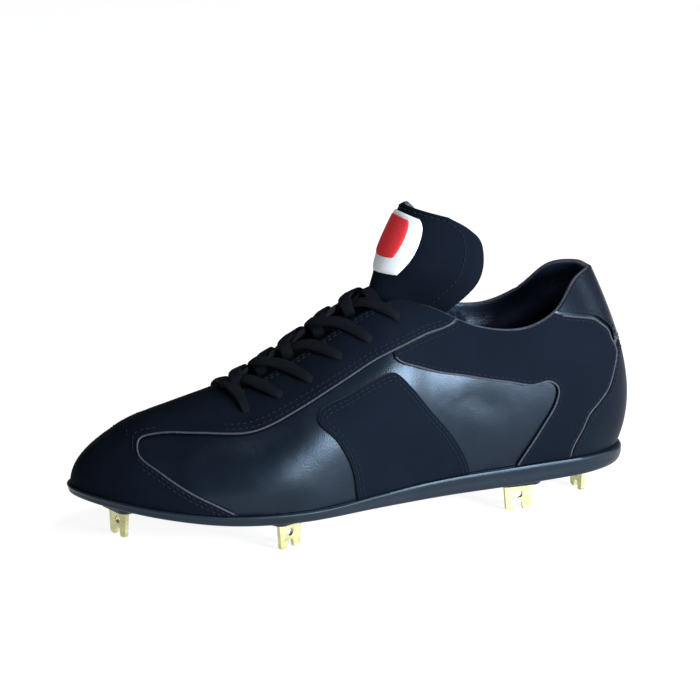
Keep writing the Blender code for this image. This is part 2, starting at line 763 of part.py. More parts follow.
@lru_cache(maxsize=None)
def tongue_rows():
    """Rows of the tongue from under the vamp to its top, each numbered by its place in the list."""
    rows = []
    for along, turn, sink in TONGUE_FOOT:
        spot, up = crest_frame(along)
        bed = sink * WALL + GAP
        spot = spot - up * bed
        tilt = math.degrees(math.atan2(up.z, up.x))
        round_off = INSTEP_RADIUS - bed
        rows.append((len(rows), spot.x, spot.y, spot.z, tilt, round_off, round_off, -turn, turn))
    base = crest_point(THROAT_TOP).z
    foot = rows[-1][3]
    for rise, along, tilt, half, depth, inner, outer in TONGUE:
        height = mix(foot, base + TONGUE_RISE, rise)
        rows.append((len(rows), along * SOLE_LENGTH, 0.0, height, tilt,
                     half * TONGUE_WIDTH, depth * TONGUE_WIDTH, inner, outer))
    return tuple(rows)


def tongue_point(v, u, inward=0.0):
    """A point of the tongue: v from its foot to its top, u from the inner edge to the outer edge."""
    rows = tongue_rows()
    x, y, z, tilt, half, depth, inner, outer = read(rows, v * (len(rows) - 1))
    turn = math.radians(mix(inner, outer, u))
    half, depth = half - inward, depth - inward
    back = Vector((-math.cos(math.radians(tilt)), 0.0, -math.sin(math.radians(tilt))))
    start = Vector((x, y, z)) + back * inward
    return start + Vector((0.0, half * math.sin(turn), 0.0)) + back * depth * (1 - math.cos(turn))


def sheet(name, point, rows, columns, thick, material):
    """A closed sheet from a function of v, u and depth."""
    bm = bmesh.new()
    layers = []
    for inward in (0.0, thick):
        layers.append([[bm.verts.new(point(i / rows, j / columns, inward)) for j in range(columns + 1)]
                       for i in range(rows + 1)])
    top, low = layers
    for i in range(rows):
        for j in range(columns):
            quad(bm, top[i][j], top[i + 1][j], top[i + 1][j + 1], top[i][j + 1])
            quad(bm, low[i][j], low[i][j + 1], low[i + 1][j + 1], low[i + 1][j])
    rim = ([(0, j) for j in range(columns)] + [(i, columns) for i in range(rows)]
           + [(rows, j) for j in range(columns, 0, -1)] + [(i, 0) for i in range(rows, 0, -1)])
    for k, (i, j) in enumerate(rim):
        m, n = rim[(k + 1) % len(rim)]
        quad(bm, top[i][j], top[m][n], low[m][n], low[i][j])
    return new_object(name, bm, material)


def build_tongue(material):
    return sheet("tongue", tongue_point, TONGUE_ROWS, TONGUE_COLUMNS, TONGUE_THICK, material)


def patch_point(v, u, inward):
    """A patch on the tongue's front with its corners drawn in on a round."""
    a, b = 2 * v - 1, 2 * u - 1
    a, b = a * math.sqrt(1 - PATCH_ROUND * b * b), b * math.sqrt(1 - PATCH_ROUND * a * a)
    low, high = PATCH_PLACE
    left, right = PATCH_SPREAD
    return tongue_point(mix(low, high, (a + 1) / 2), mix(left, right, (b + 1) / 2),
                        inward - GAP - PATCH_THICK)


def build_patch(material):
    return sheet("tongue_patch", patch_point, PATCH_STEPS, PATCH_STEPS, PATCH_THICK, material)


def lace_spot(along, across, lift):
    """A point over the throat, on the round of the instep and lifted square to it."""
    spot, up = crest_frame(along)
    radius = INSTEP_RADIUS * mix(LACE_FLAT, 1.0, smooth((THROAT_END - along) / (THROAT_END - THROAT_TOP)))
    turn = across / radius
    round_off = radius + lift
    centre = spot - up * radius
    return centre + up * round_off * math.cos(turn) + Vector((0.0, round_off * math.sin(turn), 0.0))


def ribbon(name, start, end, lift, reach, bow):
    """One flat crossing from the outer side's place to the inner side's place along the crest."""
    bm = bmesh.new()
    rings = []
    for k in range(LACE_STEPS + 1):
        share = k / LACE_STEPS
        across = mix(reach, -reach, share)
        here = mix(start, end, share) + bow * math.sin(math.pi * share)
        middle = lace_spot(here, across, lift)
        ahead = lace_spot(here + (end - start) * 0.01, mix(reach, -reach, share + 0.01), lift)
        way = (ahead - middle).normalized()
        up = (lace_spot(here, across, lift + 0.001) - middle).normalized()
        side = way.cross(up).normalized()
        ring = []
        for s, h in ((-0.5, 0.0), (-0.36, 0.5), (0.36, 0.5), (0.5, 0.0), (0.36, -0.5), (-0.36, -0.5)):
            ring.append(bm.verts.new(middle + side * s * LACE_WIDTH + up * h * LACE_THICK))
        rings.append(ring)
    for low, high in zip(rings, rings[1:]):
        for i in range(6):
            quad(bm, low[i], low[(i + 1) % 6], high[(i + 1) % 6], high[i])
    bm.faces.new(rings[0][::-1])
    bm.faces.new(rings[-1])
    return new_object(name, bm)


def build_laces(material):
    lift = OVERLAY + LACE_THICK / 2 + LACE_LIFT
    over = lift + LACE_THICK / 3
    laces = ribbon("laces", EYELETS[0], EYELETS[0], lift, LACE_REACH - LACE_THICK, 0.0)
    laces.data.materials.append(material)
    for k, (low, high) in enumerate(zip(EYELETS, EYELETS[1:])):
        under_form = ribbon(f"lace_form_under_{k}", low, high, lift, LACE_REACH, LACE_BOW)
        over_form = ribbon(f"lace_form_over_{k}", high, low, over, LACE_REACH - LACE_THICK / 2, LACE_BOW)
        cut(laces, helper(under_form), "UNION")
        cut(laces, helper(over_form), "UNION")
    return laces


def centre_on_floor():
    """Carries every piece on an empty, so the origin is on the floor under the middle of the shoe."""
    graph = bpy.context.evaluated_depsgraph_get()
    pieces = [o for o in bpy.data.objects if o.type == "MESH"]
    corners = []
    for piece in pieces:
        if not piece.hide_render:
            mesh = piece.evaluated_get(graph).to_mesh()
            corners += [v.co.copy() for v in mesh.vertices]
    low = [min(c[k] for c in corners) for k in range(3)]
    high = [max(c[k] for c in corners) for k in range(3)]
    carrier = bpy.data.objects.new("shoe", None)
    bpy.context.scene.collection.objects.link(carrier)
    carrier.location = (-(low[0] + high[0]) / 2, -(low[1] + high[1]) / 2, -low[2])
    for piece in pieces:
        piece.parent = carrier


def clear_scene():
    for obj in list(bpy.data.objects):
        bpy.data.objects.remove(obj, do_unlink=True)


def main():
    clear_scene()
    matte = make_material("matte_navy", (0.012, 0.015, 0.026), 0.85)
    gloss = make_material("gloss_navy", (0.010, 0.014, 0.026), 0.28)
    rubber = make_material("sole_black", (0.012, 0.014, 0.020), 0.42)
    brass = make_material("blade_brass", (0.62, 0.58, 0.33), 0.32, 1.0)
    lining = make_material("insole_black", (0.02, 0.02, 0.025), 0.8)
    cotton = make_material("lace_black", (0.014, 0.013, 0.014), 0.9)
    badge = make_material("patch_white", (0.80, 0.80, 0.82), 0.8)
    build_outsole(rubber)
    build_upper(gloss)
    build_insole(lining)
    build_overlays(matte, gloss)
    build_tongue(matte)
    build_patch(badge)
    build_laces(cotton)
    for row in BLADES:
        build_blade(row, brass)
    centre_on_floor()


main()
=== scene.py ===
"""Looks of a left baseball cleat: panels, lining, tongue, laces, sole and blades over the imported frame.

The last is worked out from the same sizes as the solids. While a piece is modelled, X runs from the
back of the sole to the toe, Y to the outer side and Z up; SHIFT then carries it into the frame.
All lengths are in metres and all angles in degrees.
"""
import math
from functools import lru_cache

import bmesh
import bpy
import numpy as np
from mathutils import Matrix, Vector
from mathutils.bvhtree import BVHTree


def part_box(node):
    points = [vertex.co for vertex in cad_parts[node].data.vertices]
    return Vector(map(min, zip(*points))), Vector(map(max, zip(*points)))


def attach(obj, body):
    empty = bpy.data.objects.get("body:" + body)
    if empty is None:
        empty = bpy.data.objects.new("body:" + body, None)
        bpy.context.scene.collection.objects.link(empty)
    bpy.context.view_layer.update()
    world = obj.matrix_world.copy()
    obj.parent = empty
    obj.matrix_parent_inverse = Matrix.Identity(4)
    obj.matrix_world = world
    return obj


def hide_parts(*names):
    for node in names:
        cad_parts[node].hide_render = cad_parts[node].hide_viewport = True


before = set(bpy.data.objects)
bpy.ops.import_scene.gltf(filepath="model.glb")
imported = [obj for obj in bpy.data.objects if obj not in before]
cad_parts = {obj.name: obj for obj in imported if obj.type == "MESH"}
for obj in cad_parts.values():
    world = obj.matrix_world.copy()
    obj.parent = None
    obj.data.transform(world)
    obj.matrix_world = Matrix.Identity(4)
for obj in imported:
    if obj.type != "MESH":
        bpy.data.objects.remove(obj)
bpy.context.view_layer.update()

# Sole
SOLE_LENGTH = 0.290
BALL_WIDTH = 0.100
HEEL_WIDTH = 0.068
TOE_SPRING = 0.0110
SIDE_HEIGHT = 0.0100
ARCH_RISE = 0.0030
ARCH_PLACE = 0.43
ARCH_REACH = 0.10
ARCH_EDGE = 0.4 * HEEL_WIDTH
SOLE_LEDGE = 0.0030
WIDEN_START = 0.25
WIDEN_REACH = 0.35

# Blades and the bosses that hold them
SOLE_CLEARANCE = 0.0145
BOSS_DROP = 0.0012
BLADE_REACH = SOLE_CLEARANCE - BOSS_DROP
BLADE_WIDTH = 0.0158
BLADE_THICK = 0.0020
BLADE_HOLE = 0.0040
BLADE_NOTCH = 0.0038
BLADE_ROOT = 0.0022
BLADE_TAPER = 0.87
BLADE_CORNER = 0.0016
BLADE_BEVEL = 0.00022
NOTCH_REACH = 1.35
HOLE_PLACE = 0.60
BOSS_LENGTH = 0.0230
BOSS_WIDTH = 0.0100
BOSS_ROUND = 0.42 * BOSS_WIDTH
BOSS_FLARE = 0.25
BOSS_SINK = 0.6

# Upper
BACK_HEIGHT = 0.0900
COLLAR_HEIGHT = 0.0690
INSTEP_HEIGHT = 0.0890
TOE_HEIGHT = 0.0345
INSTEP_RADIUS = 0.0330
THROAT_HALF = 0.0110
WALL = 0.0020
COLLAR_PAD = 0.0030
OVERLAY = 0.0011

# Tongue, insole, laces
TONGUE_THICK = 0.0030
TONGUE_RISE = 0.0420
TONGUE_WIDTH = 0.0600
INSOLE_THICK = 0.0035
LACE_WIDTH = 0.0066
PATCH_THICK = 0.0010
GAP = 0.0003
INSOLE_INSET = SOLE_LEDGE + WALL + COLLAR_PAD / 3

OUTER = 1
INNER = -1

# Where the model's own origin lies in the frame: the back of the sole, and the rear blade's middle
REAR_LOW, REAR_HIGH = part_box("blade_heel_back")
SHIFT = Vector((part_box("outsole")[0].x, (REAR_LOW.y + REAR_HIGH.y) / 2, 0.0))

# Each half of the sole's outline from heel to toe
OUTLINE = (
    # along, outer, inner
    (0.000, 0.000, 0.000),
    (0.022, 0.275, 0.275),
    (0.085, 0.440, 0.440),
    (0.200, 0.500, 0.470),
    (0.360, 0.490, 0.385),
    (0.520, 0.462, 0.350),
    (0.640, 0.500, 0.425),
    (0.760, 0.480, 0.475),
    (0.860, 0.390, 0.430),
    (0.935, 0.248, 0.322),
    (0.982, 0.100, 0.182),
    (1.000, -0.040, 0.040),
)

# The sole's side from heel to toe
SOLE_SIDE = (
    # along, lift, side
    (0.000, 0.250, 0.860),
    (0.120, 0.176, 0.960),
    (0.250, 0.090, 1.000),
    (0.400, 0.060, 0.900),
    (0.500, 0.040, 0.720),
    (0.580, 0.000, 0.560),
    (0.680, 0.000, 0.520),
    (0.780, 0.130, 0.490),
    (0.880, 0.460, 0.450),
    (0.950, 0.760, 0.420),
    (1.000, 1.000, 0.400),
)

# Ribs of the last, from the sole to the collar, the throat's edge or the crest
RIBS = (
    # start, top along, half width outer, half width inner, height, flare, lean, low pull, high pull
    (0.000, 0.055, 0.000 * HEEL_WIDTH, 0.000 * HEEL_WIDTH, 1.000 * BACK_HEIGHT, 25, 66, 0.34, 0.34),
    (0.055, 0.070, 0.130 * HEEL_WIDTH, 0.130 * HEEL_WIDTH, 1.015 * BACK_HEIGHT, 24, 66, 0.34, 0.34),
    (0.110, 0.108, 0.265 * HEEL_WIDTH, 0.260 * HEEL_WIDTH, 0.980 * BACK_HEIGHT, 17, 70, 0.34, 0.34),
    (0.170, 0.154, 0.375 * HEEL_WIDTH, 0.370 * HEEL_WIDTH, 1.090 * COLLAR_HEIGHT, 12, 74, 0.34, 0.34),
    (0.240, 0.220, 0.415 * HEEL_WIDTH, 0.410 * HEEL_WIDTH, 1.000 * COLLAR_HEIGHT, 10, 76, 0.36, 0.36),
    (0.320, 0.305, 0.400 * HEEL_WIDTH, 0.395 * HEEL_WIDTH, 1.060 * COLLAR_HEIGHT, 8, 72, 0.37, 0.38),
    (0.400, 0.385, 0.310 * HEEL_WIDTH, 0.310 * HEEL_WIDTH, 0.950 * INSTEP_HEIGHT, 6, 58, 0.39, 0.38),
    (0.450, 0.440, 1.300 * THROAT_HALF, 1.300 * THROAT_HALF, 0.990 * INSTEP_HEIGHT, 6, 36, 0.40, 0.38),
    (0.530, 0.535, 1.100 * THROAT_HALF, 1.100 * THROAT_HALF, 0.875 * INSTEP_HEIGHT, 6, 21, 0.41, 0.38),
    (0.610, 0.625, 1.000 * THROAT_HALF, 1.000 * THROAT_HALF, 0.715 * INSTEP_HEIGHT, 8, 17, 0.42, 0.38),
    (0.690, 0.710, 0.900 * THROAT_HALF, 0.900 * THROAT_HALF, 0.575 * INSTEP_HEIGHT, 10, 17, 0.41, 0.37),
    (0.770, 0.785, 0.900 * THROAT_HALF, 0.900 * THROAT_HALF, 1.260 * TOE_HEIGHT, 9, 15, 0.38, 0.36),
    (0.850, 0.840, 0.900 * THROAT_HALF, 0.900 * THROAT_HALF, 1.095 * TOE_HEIGHT, 6, 15, 0.36, 0.35),
    (0.920, 0.875, 0.900 * THROAT_HALF, 0.900 * THROAT_HALF, 0.960 * TOE_HEIGHT, 2, 15, 0.35, 0.36),
    (1.000, 0.905, 0.900 * THROAT_HALF, 0.900 * THROAT_HALF, 0.810 * TOE_HEIGHT, -2, 15, 0.36, 0.44),
)
THROAT_END = 0.730
THROAT_TOP = 0.440
THROAT_ROUND = 0.0100
THROAT_BLEND = 0.05
CREST = (
    # along, across as a share of the ball's width
    (0.000, 0.000),
    (0.300, 0.000),
    (0.550, 0.000),
    (0.750, -0.018),
    (0.905, -0.040),
)
BLADES = (
    # name, along, across as a share of the ball's width, turn
    ("blade_toe", 0.907, -0.080, 104),
    ("blade_ball_outer", 0.660, 0.405, 27),
    ("blade_ball_inner", 0.690, -0.345, -27),
    ("blade_heel_outer", 0.217, 0.235, 0),
    ("blade_heel_inner", 0.217, -0.225, 0),
    ("blade_heel_back", 0.069, 0.000, 90),
)
TONGUE = (
    # rise, along, tilt, half width, depth, inner edge, outer edge
    (0.13, 0.474, 42, 0.290, 0.66, -56, 66),
    (0.34, 0.459, 30, 0.285, 0.84, -58, 72),
    (0.62, 0.441, 20, 0.430, 0.91, -58, 79),
    (0.86, 0.418, 16, 0.450, 0.925, -50, 72),
    (0.95, 0.408, 14, 0.450, 0.925, -40, 60),
    (1.00, 0.402, 14, 0.450, 0.925, -26, 45),
)
TONGUE_FOOT = (
    # along, edge turn, sink as a share of the wall
    (0.755, 38, 2.00),
    (0.725, 42, 2.00),
    (0.690, 46, 1.60),
    (0.640, 50, 1.35),
    (0.580, 54, 1.30),
    (0.530, 54, 1.40),
)
EYELETS = (0.710, 0.648, 0.596, 0.541, 0.488, 0.434)

# Outlines of the overlays in the side view: place along, height as a share of the instep's height
VAMP = (
    (0.700, 0.10), (0.779, 0.27), (0.834, 0.37), (0.876, 0.47), (0.900, 0.54), (0.893, 0.605),
    (0.860, 0.642), (0.800, 0.652), (0.726, 0.655), (0.690, 0.685), (0.629, 0.775), (0.558, 0.894),
    (0.493, 1.000), (0.447, 1.052), (0.398, 1.098), (0.346, 1.144), (0.300, 1.350), (0.450, 1.700),
    (0.800, 1.300), (1.080, 0.80), (1.080, 0.10),
)
HEEL_TAB = (
    (-0.060, 0.900), (0.000, 0.900), (0.030, 0.930), (0.036, 0.989), (0.052, 1.036), (0.070, 1.079),
    (0.093, 1.100), (0.124, 1.124), (0.150, 1.150), (0.160, 1.300), (0.100, 1.600), (-0.060, 1.400),
)
COUNTER = (
    (-0.060, 0.100), (0.060, 0.080), (0.130, 0.120), (0.124, 0.330), (0.106, 0.452), (0.093, 0.532),
    (0.075, 0.584), (0.052, 0.658), (0.037, 0.758), (0.027, 0.850), (0.000, 0.893), (-0.060, 0.893),
)
SADDLE = (
    (0.330, 0.10), (0.325, 0.30), (0.355, 0.50), (0.402, 0.69), (0.436, 0.83), (0.466, 0.920),
    (0.504, 0.890), (0.550, 0.826), (0.600, 0.755), (0.606, 0.70), (0.575, 0.58), (0.550, 0.42),
    (0.540, 0.25), (0.530, 0.10),
)
QUARTER = (
    (0.461, 1.022), (0.456, 0.985), (0.420, 0.935), (0.379, 0.888), (0.334, 0.854), (0.293, 0.820),
    (0.248, 0.787), (0.210, 0.757), (0.174, 0.764), (0.158, 0.722), (0.162, 0.640), (0.193, 0.483),
    (0.228, 0.315), (0.248, 0.200), (0.248, 0.100), (0.136, 0.100), (0.129, 0.340), (0.110, 0.462),
    (0.097, 0.545), (0.078, 0.600), (0.056, 0.670), (0.041, 0.765), (0.030, 0.865), (0.040, 0.930),
    (0.046, 0.985), (0.060, 1.024), (0.076, 1.062), (0.095, 1.082), (0.126, 1.104), (0.150, 1.125),
    (0.200, 1.200), (0.290, 1.250), (0.342, 1.132), (0.397, 1.085), (0.440, 1.045),
)

# Soft troughs and ridges pressed into the upper: side, from and to in the side view, height, breadth
CREASES = (
    (OUTER, 0.590, 0.30, 0.660, 0.62, -0.00045, 0.0110),
    (INNER, 0.600, 0.30, 0.660, 0.55, -0.00055, 0.0090),
    (INNER, 0.690, 0.30, 0.740, 0.50, -0.00040, 0.0080),
    (OUTER, 0.270, 0.30, 0.330, 0.72, 0.00045, 0.0120),
    (0, 0.240, 0.62, 0.350, 0.72, -0.00045, 0.0080),
    (0, 0.180, 0.95, 0.120, 0.75, -0.00045, 0.0070),
)

# Where the ribs are eased into each other, past the throat's end
EASE_PLACE = 0.70
EASE_REACH = 0.06
EASE_ROUNDS = 60

# Mesh density
RIB_COUNT = 150
LEVELS = 46
RIM_STEPS = 6
OUTLINE_STEPS = 8
SEAM_STEPS = 12
CURVE_STEPS = 60
TURN_RIBS = 12
SOLE_COUNT = 150

# Angles past which an edge is drawn sharp
SHARP = 35
SOLE_SHARP = 50
THREAD_SHARP = 60


def mix(a, b, share):
    return a + (b - a) * share


def smooth(share):
    share = min(max(share, 0.0), 1.0)
    return share * share * (3 - 2 * share)


def read(rows, place):
    """The other columns of a table at a place in its first column, on a smooth curve."""
    place = min(max(place, rows[0][0]), rows[-1][0])
    last = len(rows) - 2
    i = next((k for k in range(last) if place < rows[k + 1][0]), last)
    near, far = rows[i], rows[i + 1]
    before, after = rows[max(i - 1, 0)], rows[min(i + 2, last + 1)]
    span = far[0] - near[0]
    t = (place - near[0]) / span
    values = []
    for c in range(1, len(near)):
        start = span * (far[c] - before[c]) / (far[0] - before[0])
        end = span * (after[c] - near[c]) / (after[0] - near[0])
        bend = 3 * (far[c] - near[c]) - 2 * start - end
        curl = start + end - 2 * (far[c] - near[c])
        values.append(near[c] + t * (start + t * (bend + t * curl)))
    return values


def closed_curve(points, steps):
    """A smooth closed curve through flat points, spaced by the square root of their distances."""
    curve = []
    count = len(points)
    for i in range(count):
        a, b, c, d = (points[(i + k) % count] for k in (-1, 0, 1, 2))
        ab, bc, cd = (math.sqrt((q - p).length) for p, q in ((a, b), (b, c), (c, d)))
        start = (b - a) / ab - (c - a) / (ab + bc) + (c - b) / bc
        end = (c - b) / bc - (d - b) / (bc + cd) + (d - c) / cd
        for k in range(steps):
            t = k / steps
            hermite = (2 * t ** 3 - 3 * t ** 2 + 1, t ** 3 - 2 * t ** 2 + t)
            other = (3 * t ** 2 - 2 * t ** 3, t ** 3 - t ** 2)
            curve.append(b * hermite[0] + start * bc * hermite[1] + c * other[0] + end * bc * other[1])
    return curve


def side_curve(corners, steps):
    """An overlay's outline in the side view, in metres."""
    return closed_curve([Vector((a * SOLE_LENGTH, h * INSTEP_HEIGHT)) for a, h in corners], steps)


def arc(centre, radius, start, end, steps):
    """Flat points on a round from one angle to another."""
    turns = [math.radians(mix(start, end, k / steps)) for k in range(steps + 1)]
    return [centre + Vector((math.cos(a), math.sin(a))) * radius for a in turns]


def reaches(points):
    """How far along a line each of its points lies."""
    reach = [0.0]
    for a, b in zip(points, points[1:]):
        reach.append(reach[-1] + (b - a).length)
    return reach


def both_sides(shares):
    """Places in one round: up the outer side from heel to toe and back down the inner side."""
    return [(OUTER, s) for s in shares] + [(INNER, s) for s in shares[-2:0:-1]]


# The last

def width_at(along):
    """The width that the outline's shares follow: the heel's, then the ball's."""
    return mix(HEEL_WIDTH, BALL_WIDTH, smooth((along - WIDEN_START) / WIDEN_REACH))


@lru_cache(maxsize=None)
def outline_half(side):
    outer = [Vector((a * SOLE_LENGTH, o * width_at(a))) for a, o, i in OUTLINE]
    inner = [Vector((a * SOLE_LENGTH, -i * width_at(a))) for a, o, i in OUTLINE[1:-1]]
    steps = 16
    curve = closed_curve(outer + inner[::-1], steps)
    tip = (len(outer) - 1) * steps
    half = curve[:tip + 1] if side == OUTER else [curve[0]] + curve[:tip - 1:-1]
    return half, reaches(half)


def edge_point(side, share, inset=0.0):
    """A point of the outline at a share of the way from heel to toe, moved in square to the edge."""
    half, reach = outline_half(side)
    goal = min(max(share, 0.0), 1.0) * reach[-1]
    i = next((k for k in range(len(reach) - 2) if goal <= reach[k + 1]), len(reach) - 2)
    t = (goal - reach[i]) / (reach[i + 1] - reach[i])
    back, front = half[max(i - 1, 0)], half[min(i + 2, len(half) - 1)]
    way = ((half[i + 1] - back) * (1 - t) + (front - half[i]) * t).normalized()
    if share <= 0.0 or share >= 1.0:
        way = Vector((0.0, side if share <= 0.0 else -side))
    out = Vector((-way.y, way.x)) * side
    return half[i].lerp(half[i + 1], t) - out * inset, out


def underside(along):
    return SOLE_CLEARANCE + read(SOLE_SIDE, along)[0] * TOE_SPRING


def sole_top(along):
    return underside(along) + read(SOLE_SIDE, along)[1] * SIDE_HEIGHT


def arch(along, across):
    bump = math.exp(-((along - ARCH_PLACE) / ARCH_REACH) ** 2)
    return ARCH_RISE * bump * smooth(-across / ARCH_EDGE)


def crest_across(along):
    return read(CREST, along)[0] * BALL_WIDTH


def slit_factor(along):
    """One along the throat, falling to nothing on a round at the throat's end."""
    into = (along - THROAT_END) * SOLE_LENGTH / THROAT_ROUND + 1
    return math.sqrt(max(0.0, 1 - max(into, 0.0) ** 2))


def crest_height(share):
    along, outer, inner, height = read(RIBS, share)[:4]
    half = (outer + inner) / 2
    past = smooth((along - THROAT_TOP) / THROAT_BLEND)
    return sole_top(along) + height + past * half ** 2 / (2 * INSTEP_RADIUS)


def rib_top(side, share):
    """The end of a rib on the collar, the throat's edge or, past the throat, the crest."""
    along, outer, inner, height = read(RIBS, share)[:4]
    full = outer if side == OUTER else inner
    across = full * slit_factor(along)
    past = smooth((along - THROAT_TOP) / THROAT_BLEND)
    rise = past * (full ** 2 - across ** 2) / (2 * INSTEP_RADIUS)
    return Vector((along * SOLE_LENGTH, crest_across(along) + side * across,
                   sole_top(along) + height + rise))


def rib_ends(side, share):
    """Four handles of a rib's curve, from the sole's top to the upper's top edge."""
    flat, out = edge_point(side, share, SOLE_LEDGE)
    along, _, _, _, flare, lean, low, high = read(RIBS, share)
    start = Vector((flat.x, flat.y, sole_top(flat.x / SOLE_LENGTH) + GAP))
    top = rib_top(side, share)
    step = 0.004
    ahead, behind = min(share + step, 1.0), max(share - step, 0.0)
    run = (read(RIBS, ahead)[0] - read(RIBS, behind)[0]) * SOLE_LENGTH
    slope = (crest_height(ahead) - crest_height(behind)) / run
    level = (start - top).to_2d()
    level = level.normalized() if level.length > 0.0005 else Vector((-1.0, 0.0))
    if share <= 0.0:
        level = Vector((-1.0, 0.0))
    flare, lean = math.radians(flare), math.radians(lean * slit_factor(along))
    reach = (top - start).length
    up = Vector((out.x * math.sin(flare), out.y * math.sin(flare), math.cos(flare)))
    calm = math.cos(lean) ** 4
    drop = -math.sin(lean) + slope * level.x * calm
    over = Vector((level.x * math.cos(lean), level.y * math.cos(lean), drop)).normalized()
    return start, start + up * low * reach, top + over * high * reach, top


def share_of_top(along):
    """The rib whose top lies at a place along the shoe, found by halving."""
    low, high = 0.3, 1.0
    for _ in range(30):
        middle = (low + high) / 2
        if read(RIBS, middle)[0] < along:
            low = middle
        else:
            high = middle
    return (low + high) / 2


def throat_open(share):
    return read(RIBS, share)[0] < THROAT_END - 0.0005


@lru_cache(maxsize=None)
def rib_shares():
    """Places of the ribs, closer where the throat turns at its end."""
    turn = []
    for k in range(1, TURN_RIBS + 1):
        back = 1 - math.sin(math.radians(90 * k / TURN_RIBS))
        turn.append(share_of_top(THROAT_END - THROAT_ROUND / SOLE_LENGTH * back))
    close = 0.3 / RIB_COUNT
    even = [k / RIB_COUNT for k in range(RIB_COUNT + 1)]
    kept = [share for share in even if min(abs(share - other) for other in turn) > close]
    return tuple(sorted(kept + turn))


def stations():
    return both_sides(rib_shares())


def pressed(points, sides):
    """Height of the troughs and ridges at each point of the last."""
    depth = np.zeros(points.shape[:2])
    for side, x0, z0, x1, z1, height, breadth in CREASES:
        a = np.array((x0 * SOLE_LENGTH, z0 * INSTEP_HEIGHT))
        b = np.array((x1 * SOLE_LENGTH, z1 * INSTEP_HEIGHT))
        flat = points[:, :, (0, 2)] - a
        t = np.clip(flat @ (b - a) / ((b - a) @ (b - a)), 0, 1)
        away = np.linalg.norm(flat - t[..., None] * (b - a), axis=2)
        here = np.ones(len(sides)) if side == 0 else (np.array(sides) == side)
        fade = 4 * t * (1 - t)
        depth += height * fade * np.exp(-(away / breadth) ** 2) * here[:, None]
    return depth


def normals_of(points):
    around = np.roll(points, -1, 0) - np.roll(points, 1, 0)
    still = np.linalg.norm(around[:, -1], axis=1) < 1e-7
    around[still, -1] = around[still, -2]
    rise = np.gradient(points, axis=1)
    normals = np.cross(rise, around)
    return normals / np.linalg.norm(normals, axis=2)[..., None]


@lru_cache(maxsize=None)
def last_grid():
    """Points and outward normals of the last, a row for each rib and a column for each height."""
    t = np.linspace(0, 1, LEVELS + 1)[:, None]
    rounds = stations()
    points = []
    for side, share in rounds:
        a, b, c, d = (np.array(p) for p in rib_ends(side, share))
        points.append(a * (1 - t) ** 3 + b * 3 * (1 - t) ** 2 * t + c * 3 * (1 - t) * t ** 2 + d * t ** 3)
    points = np.array(points)
    places = np.array([share for _, share in rounds])
    ease = 0.5 * np.exp(-((places - EASE_PLACE) / EASE_REACH) ** 2)[:, None, None]
    for _ in range(EASE_ROUNDS):
        middle = (np.roll(points, 1, 0) + np.roll(points, -1, 0)) / 2 - points
        points[:, 1:-1] += (ease * middle)[:, 1:-1]
    normals = normals_of(points)
    count = len(rounds)
    for i, (side, share) in enumerate(rounds):
        if side == OUTER and not throat_open(share):
            mirror = (count - i) % count
            both = normals[i, -1] + normals[mirror, -1]
            normals[i, -1] = normals[mirror, -1] = both / np.linalg.norm(both)
    points = points + normals * pressed(points, [side for side, _ in rounds])[..., None]
    return points, normals


# Mesh helpers

def place_object(name, data):
    made = bpy.data.objects.new(name, data)
    bpy.context.scene.collection.objects.link(made)
    return made


def finish_object(name, bm, materials, sharp=SHARP):
    mesh = bpy.data.meshes.new(name)
    bmesh.ops.recalc_face_normals(bm, faces=bm.faces)
    bm.to_mesh(mesh)
    bm.free()
    mesh.shade_smooth()
    mesh.set_sharp_from_angle(angle=math.radians(sharp))
    for material in materials:
        mesh.materials.append(material)
    return place_object(name, mesh)


def dress(obj, slot, *nodes):
    """Carries a finished piece into the frame, on the body, in place of its solids."""
    obj.data.transform(Matrix.Translation(SHIFT))
    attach(obj, "root")
    if nodes:
        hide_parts(*nodes)
    return obj


def quad(bm, a, b, c, d, material=0):
    corners = []
    for corner in (a, b, c, d):
        if corner not in corners:
            corners.append(corner)
    if len(corners) > 2 and not bm.faces.get(corners):
        face = bm.faces.new(corners)
        face.material_index = material


def apply_cut(obj, tool, operation):
    """Cuts a closed mesh by another, keeps the cutter's material on the cut faces and drops the cutter."""
    modifier = obj.modifiers.new("cut", "BOOLEAN")
    modifier.operation = operation
    modifier.solver = "MANIFOLD"
    modifier.object = tool
    modifier.material_mode = "TRANSFER"
    graph = bpy.context.evaluated_depsgraph_get()
    mesh = bpy.data.meshes.new_from_object(obj.evaluated_get(graph))
    obj.modifiers.clear()
    obj.data = mesh
    bpy.data.objects.remove(tool, do_unlink=True)


def hoop(bm, centre, across, ahead, radius, count):
    """A round ring of corners about a point, in the plane of two directions."""
    turns = [2 * math.pi * n / count for n in range(count)]
    return [bm.verts.new(centre + (across * math.cos(a) + ahead * math.sin(a)) * radius) for a in turns]


def skin(bm, rings, ends=(0, -1)):
    """Faces between rings of equal count, one row for each gap, and a face on each named end."""
    count = len(rings[0])
    rows = []
    for low, high in zip(rings, rings[1:]):
        turns = [(i, (i + 1) % count) for i in range(count)]
        rows.append([bm.faces.new((low[i], low[j], high[j], high[i])) for i, j in turns])
    for end in ends:
        bm.faces.new(rings[end] if end else rings[end][::-1])
    return rows


def prism(bm, outline, near, far):
    """A closed block across the shoe from an outline in the side view."""
    skin(bm, [[bm.verts.new((p.x, across, p.y)) for p in outline] for across in (near, far)])


# Upper

